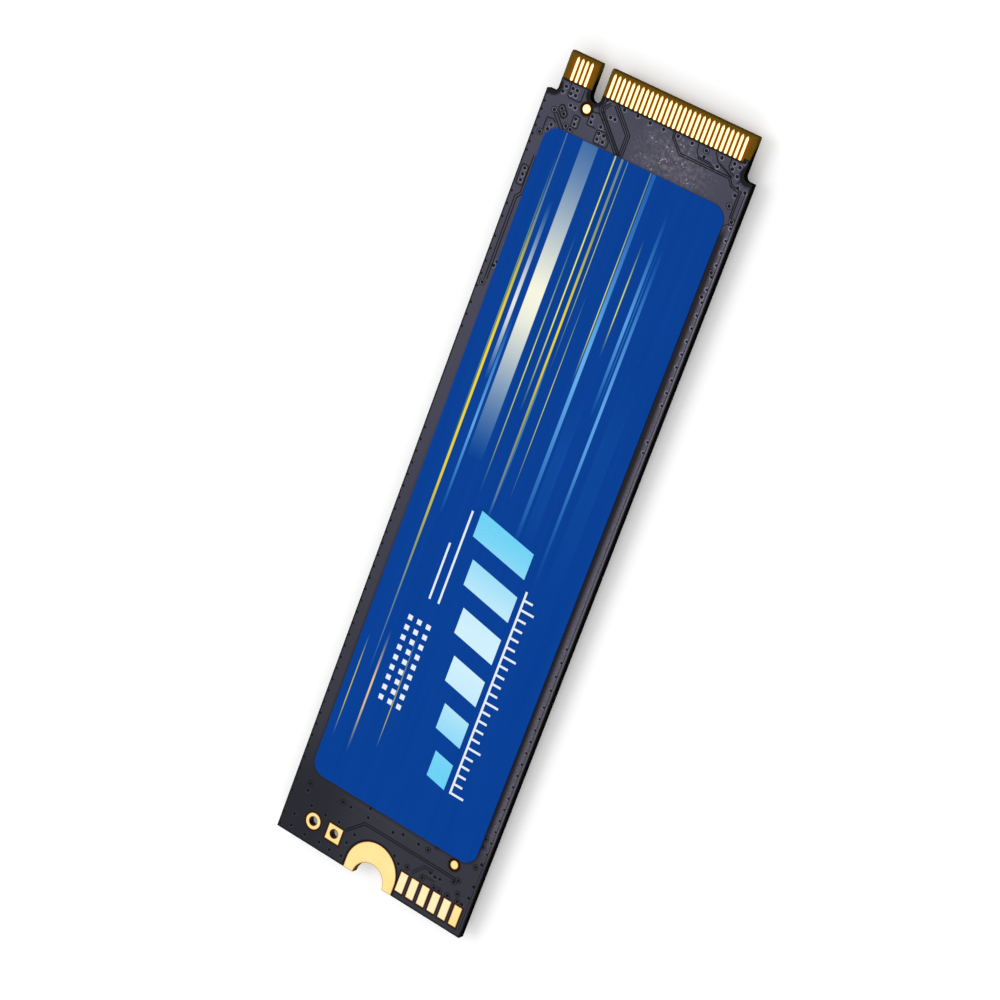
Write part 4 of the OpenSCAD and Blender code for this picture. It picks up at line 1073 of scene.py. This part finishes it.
def chip_mesh(node, dimple_r, dimple_at):
    """A moulded body with rounded edges and a round dimple that marks pin one."""
    rim = rounded_outline(node, 2 * CHIP_EDGE)
    low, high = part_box(node)
    mark = (low.x / MM + dimple_at, high.y / MM - dimple_at)
    lines = [beside(rim, CHIP_EDGE * (1 - math.cos(math.radians(t)))) for t in (30, 60, 90)]
    lines += [circle(mark, r, DIMPLE_SIDES) for r in (dimple_r, dimple_r + DIMPLE_SLOPE)]

    def surface(points):
        short = closeness(points, rim, CHIP_EDGE)
        away = np.linalg.norm(points - mark, axis=1)
        dent = np.interp(away, [dimple_r, dimple_r + DIMPLE_SLOPE], [DIMPLE_DEPTH, 0])
        return -CHIP_EDGE * (1 - np.sqrt(1 - short ** 2)) - dent, {}

    return sheet_mesh(node, False, [rim], lines, surface)


def mould_chips():
    for node, (piece, dimple_r, dimple_at) in CHIPS.items():
        add_piece(piece, chip_mesh(node, dimple_r, dimple_at), "mould", node)


def solder_fillets():
    """Solder that climbs from each land up the end of the terminal that stands on it."""
    lands = solids_of("component_lands")
    made = bmesh.new()
    for node, body_node in SOLDERED.items():
        bodies = [(low + high) / 2 for low, high in solids_of(body_node)]
        for low, high in solids_of(node):
            place = (low + high) / 2
            body = min(bodies, key=lambda b: (b - place).length)
            along = 0 if abs(place.x - body.x) > abs(place.y - body.y) else 1
            end = 1 if place[along] > body[along] else 0
            land = min(lands, key=lambda box: ((box[0] + box[1]) / 2 - place).xy.length)
            start, stop = (low, high)[end][along], land[end][along]
            half = (high - low)[1 - along] * SOLDER_W / 2
            climb = (high.z - low.z) * SOLDER_CLIMB
            sunk = SOLDER_SUNK * MM
            section = [(start + (stop - start) * share, high.z - climb * (1 - share) ** 2)
                       for share in np.linspace(0, 1, SOLDER_STEPS)]
            inner = start - math.copysign(sunk, stop - start)
            section += [(stop, high.z + sunk), (inner, high.z + sunk), (inner, section[0][1])]
            sides = []
            for side in (-half, half):
                spot = Vector((0, 0, 0))
                spot[1 - along] = place[1 - along] + side
                ring = []
                for where, z in section:
                    spot[along], spot.z = where, z
                    ring.append(made.verts.new(spot))
                sides.append(ring)
            made.faces.new(sides[0])
            made.faces.new(sides[1][::-1])
            for i in range(len(section)):
                j = (i + 1) % len(section)
                made.faces.new((sides[0][j], sides[0][i], sides[1][i], sides[1][j]))
    bmesh.ops.recalc_face_normals(made, faces=made.faces)
    add_piece("solder_fillets", finished(made, "solder_fillets"), "solder")


# Stage


def add_camera():
    data = bpy.data.cameras.new("camera")
    data.sensor_width = CAMERA_SENSOR
    data.lens = CAMERA_LENS
    data.clip_start, data.clip_end = CAMERA_SEES
    camera = add_object("camera", data)
    camera.location = Vector(CAMERA_AT) * MM
    view = Vector(CAMERA_LOOKS_AT) - Vector(CAMERA_AT)
    camera.rotation_mode = "QUATERNION"
    roll = Quaternion((0, 0, 1), math.radians(CAMERA_ROLL))
    camera.rotation_quaternion = view.to_track_quat("-Z", "Y") @ roll
    bpy.context.scene.camera = camera


def add_softbox(name, place, side, power):
    data = bpy.data.lights.new(name, "AREA")
    data.size = side * MM
    data.energy = power
    lamp = add_object(name, data)
    lamp.location = Vector(place) * MM
    lamp.rotation_mode = "QUATERNION"
    lamp.rotation_quaternion = (-Vector(place)).to_track_quat("-Z", "Y")


def light_sky():
    """White all round for the camera and for reflections, softer as light on the object."""
    world = bpy.data.worlds.new("studio")
    bpy.context.scene.world = world
    world.use_nodes = True
    nodes, links = world.node_tree.nodes, world.node_tree.links
    path = nodes.new("ShaderNodeLightPath")
    seen = path.outputs["Is Camera Ray"]
    for ray in ("Is Glossy Ray", "Is Transmission Ray"):
        either = nodes.new("ShaderNodeMath")
        either.operation = "MAXIMUM"
        links.new(seen, either.inputs[0])
        links.new(path.outputs[ray], either.inputs[1])
        seen = either.outputs[0]
    strength = nodes.new("ShaderNodeMapRange")
    strength.inputs["To Min"].default_value = SKY
    strength.inputs["To Max"].default_value = 1.0
    links.new(seen, strength.inputs["Value"])
    background = nodes["Background"]
    background.inputs["Color"].default_value = (1, 1, 1, 1)
    links.new(strength.outputs[0], background.inputs["Strength"])


def add_floor():
    half = FLOOR_SIDE / 2
    corners = ((-half, -half), (half, -half), (half, half), (-half, half))
    mesh = mesh_from("floor", [(x, y, -FLOOR_DROP) for x, y in corners], [(0, 1, 2, 3)])
    mesh.materials.append(make_floor())
    add_object("floor", mesh)


# Put together

for subpart in frame["record"]["subparts"]:
    node = subpart["node"]
    material = OWN_MATERIALS.get(node, MATERIALS[subpart["material_slot"]])
    frame["nodes"][node].data.materials.clear()
    frame["nodes"][node].data.materials.append(material)

dress_label_side()
dress_component_side()
round_pads()
print_streaks()
soften_parts()
mould_chips()
solder_fillets()
add_camera()
add_softbox("key_light", SOFTBOX_AT, SOFTBOX_SIDE, SOFTBOX_POWER)
add_softbox("fill_light", FILL_AT, FILL_SIDE, FILL_POWER)
light_sky()
add_floor()
bpy.context.scene.view_settings.view_transform = "Standard"
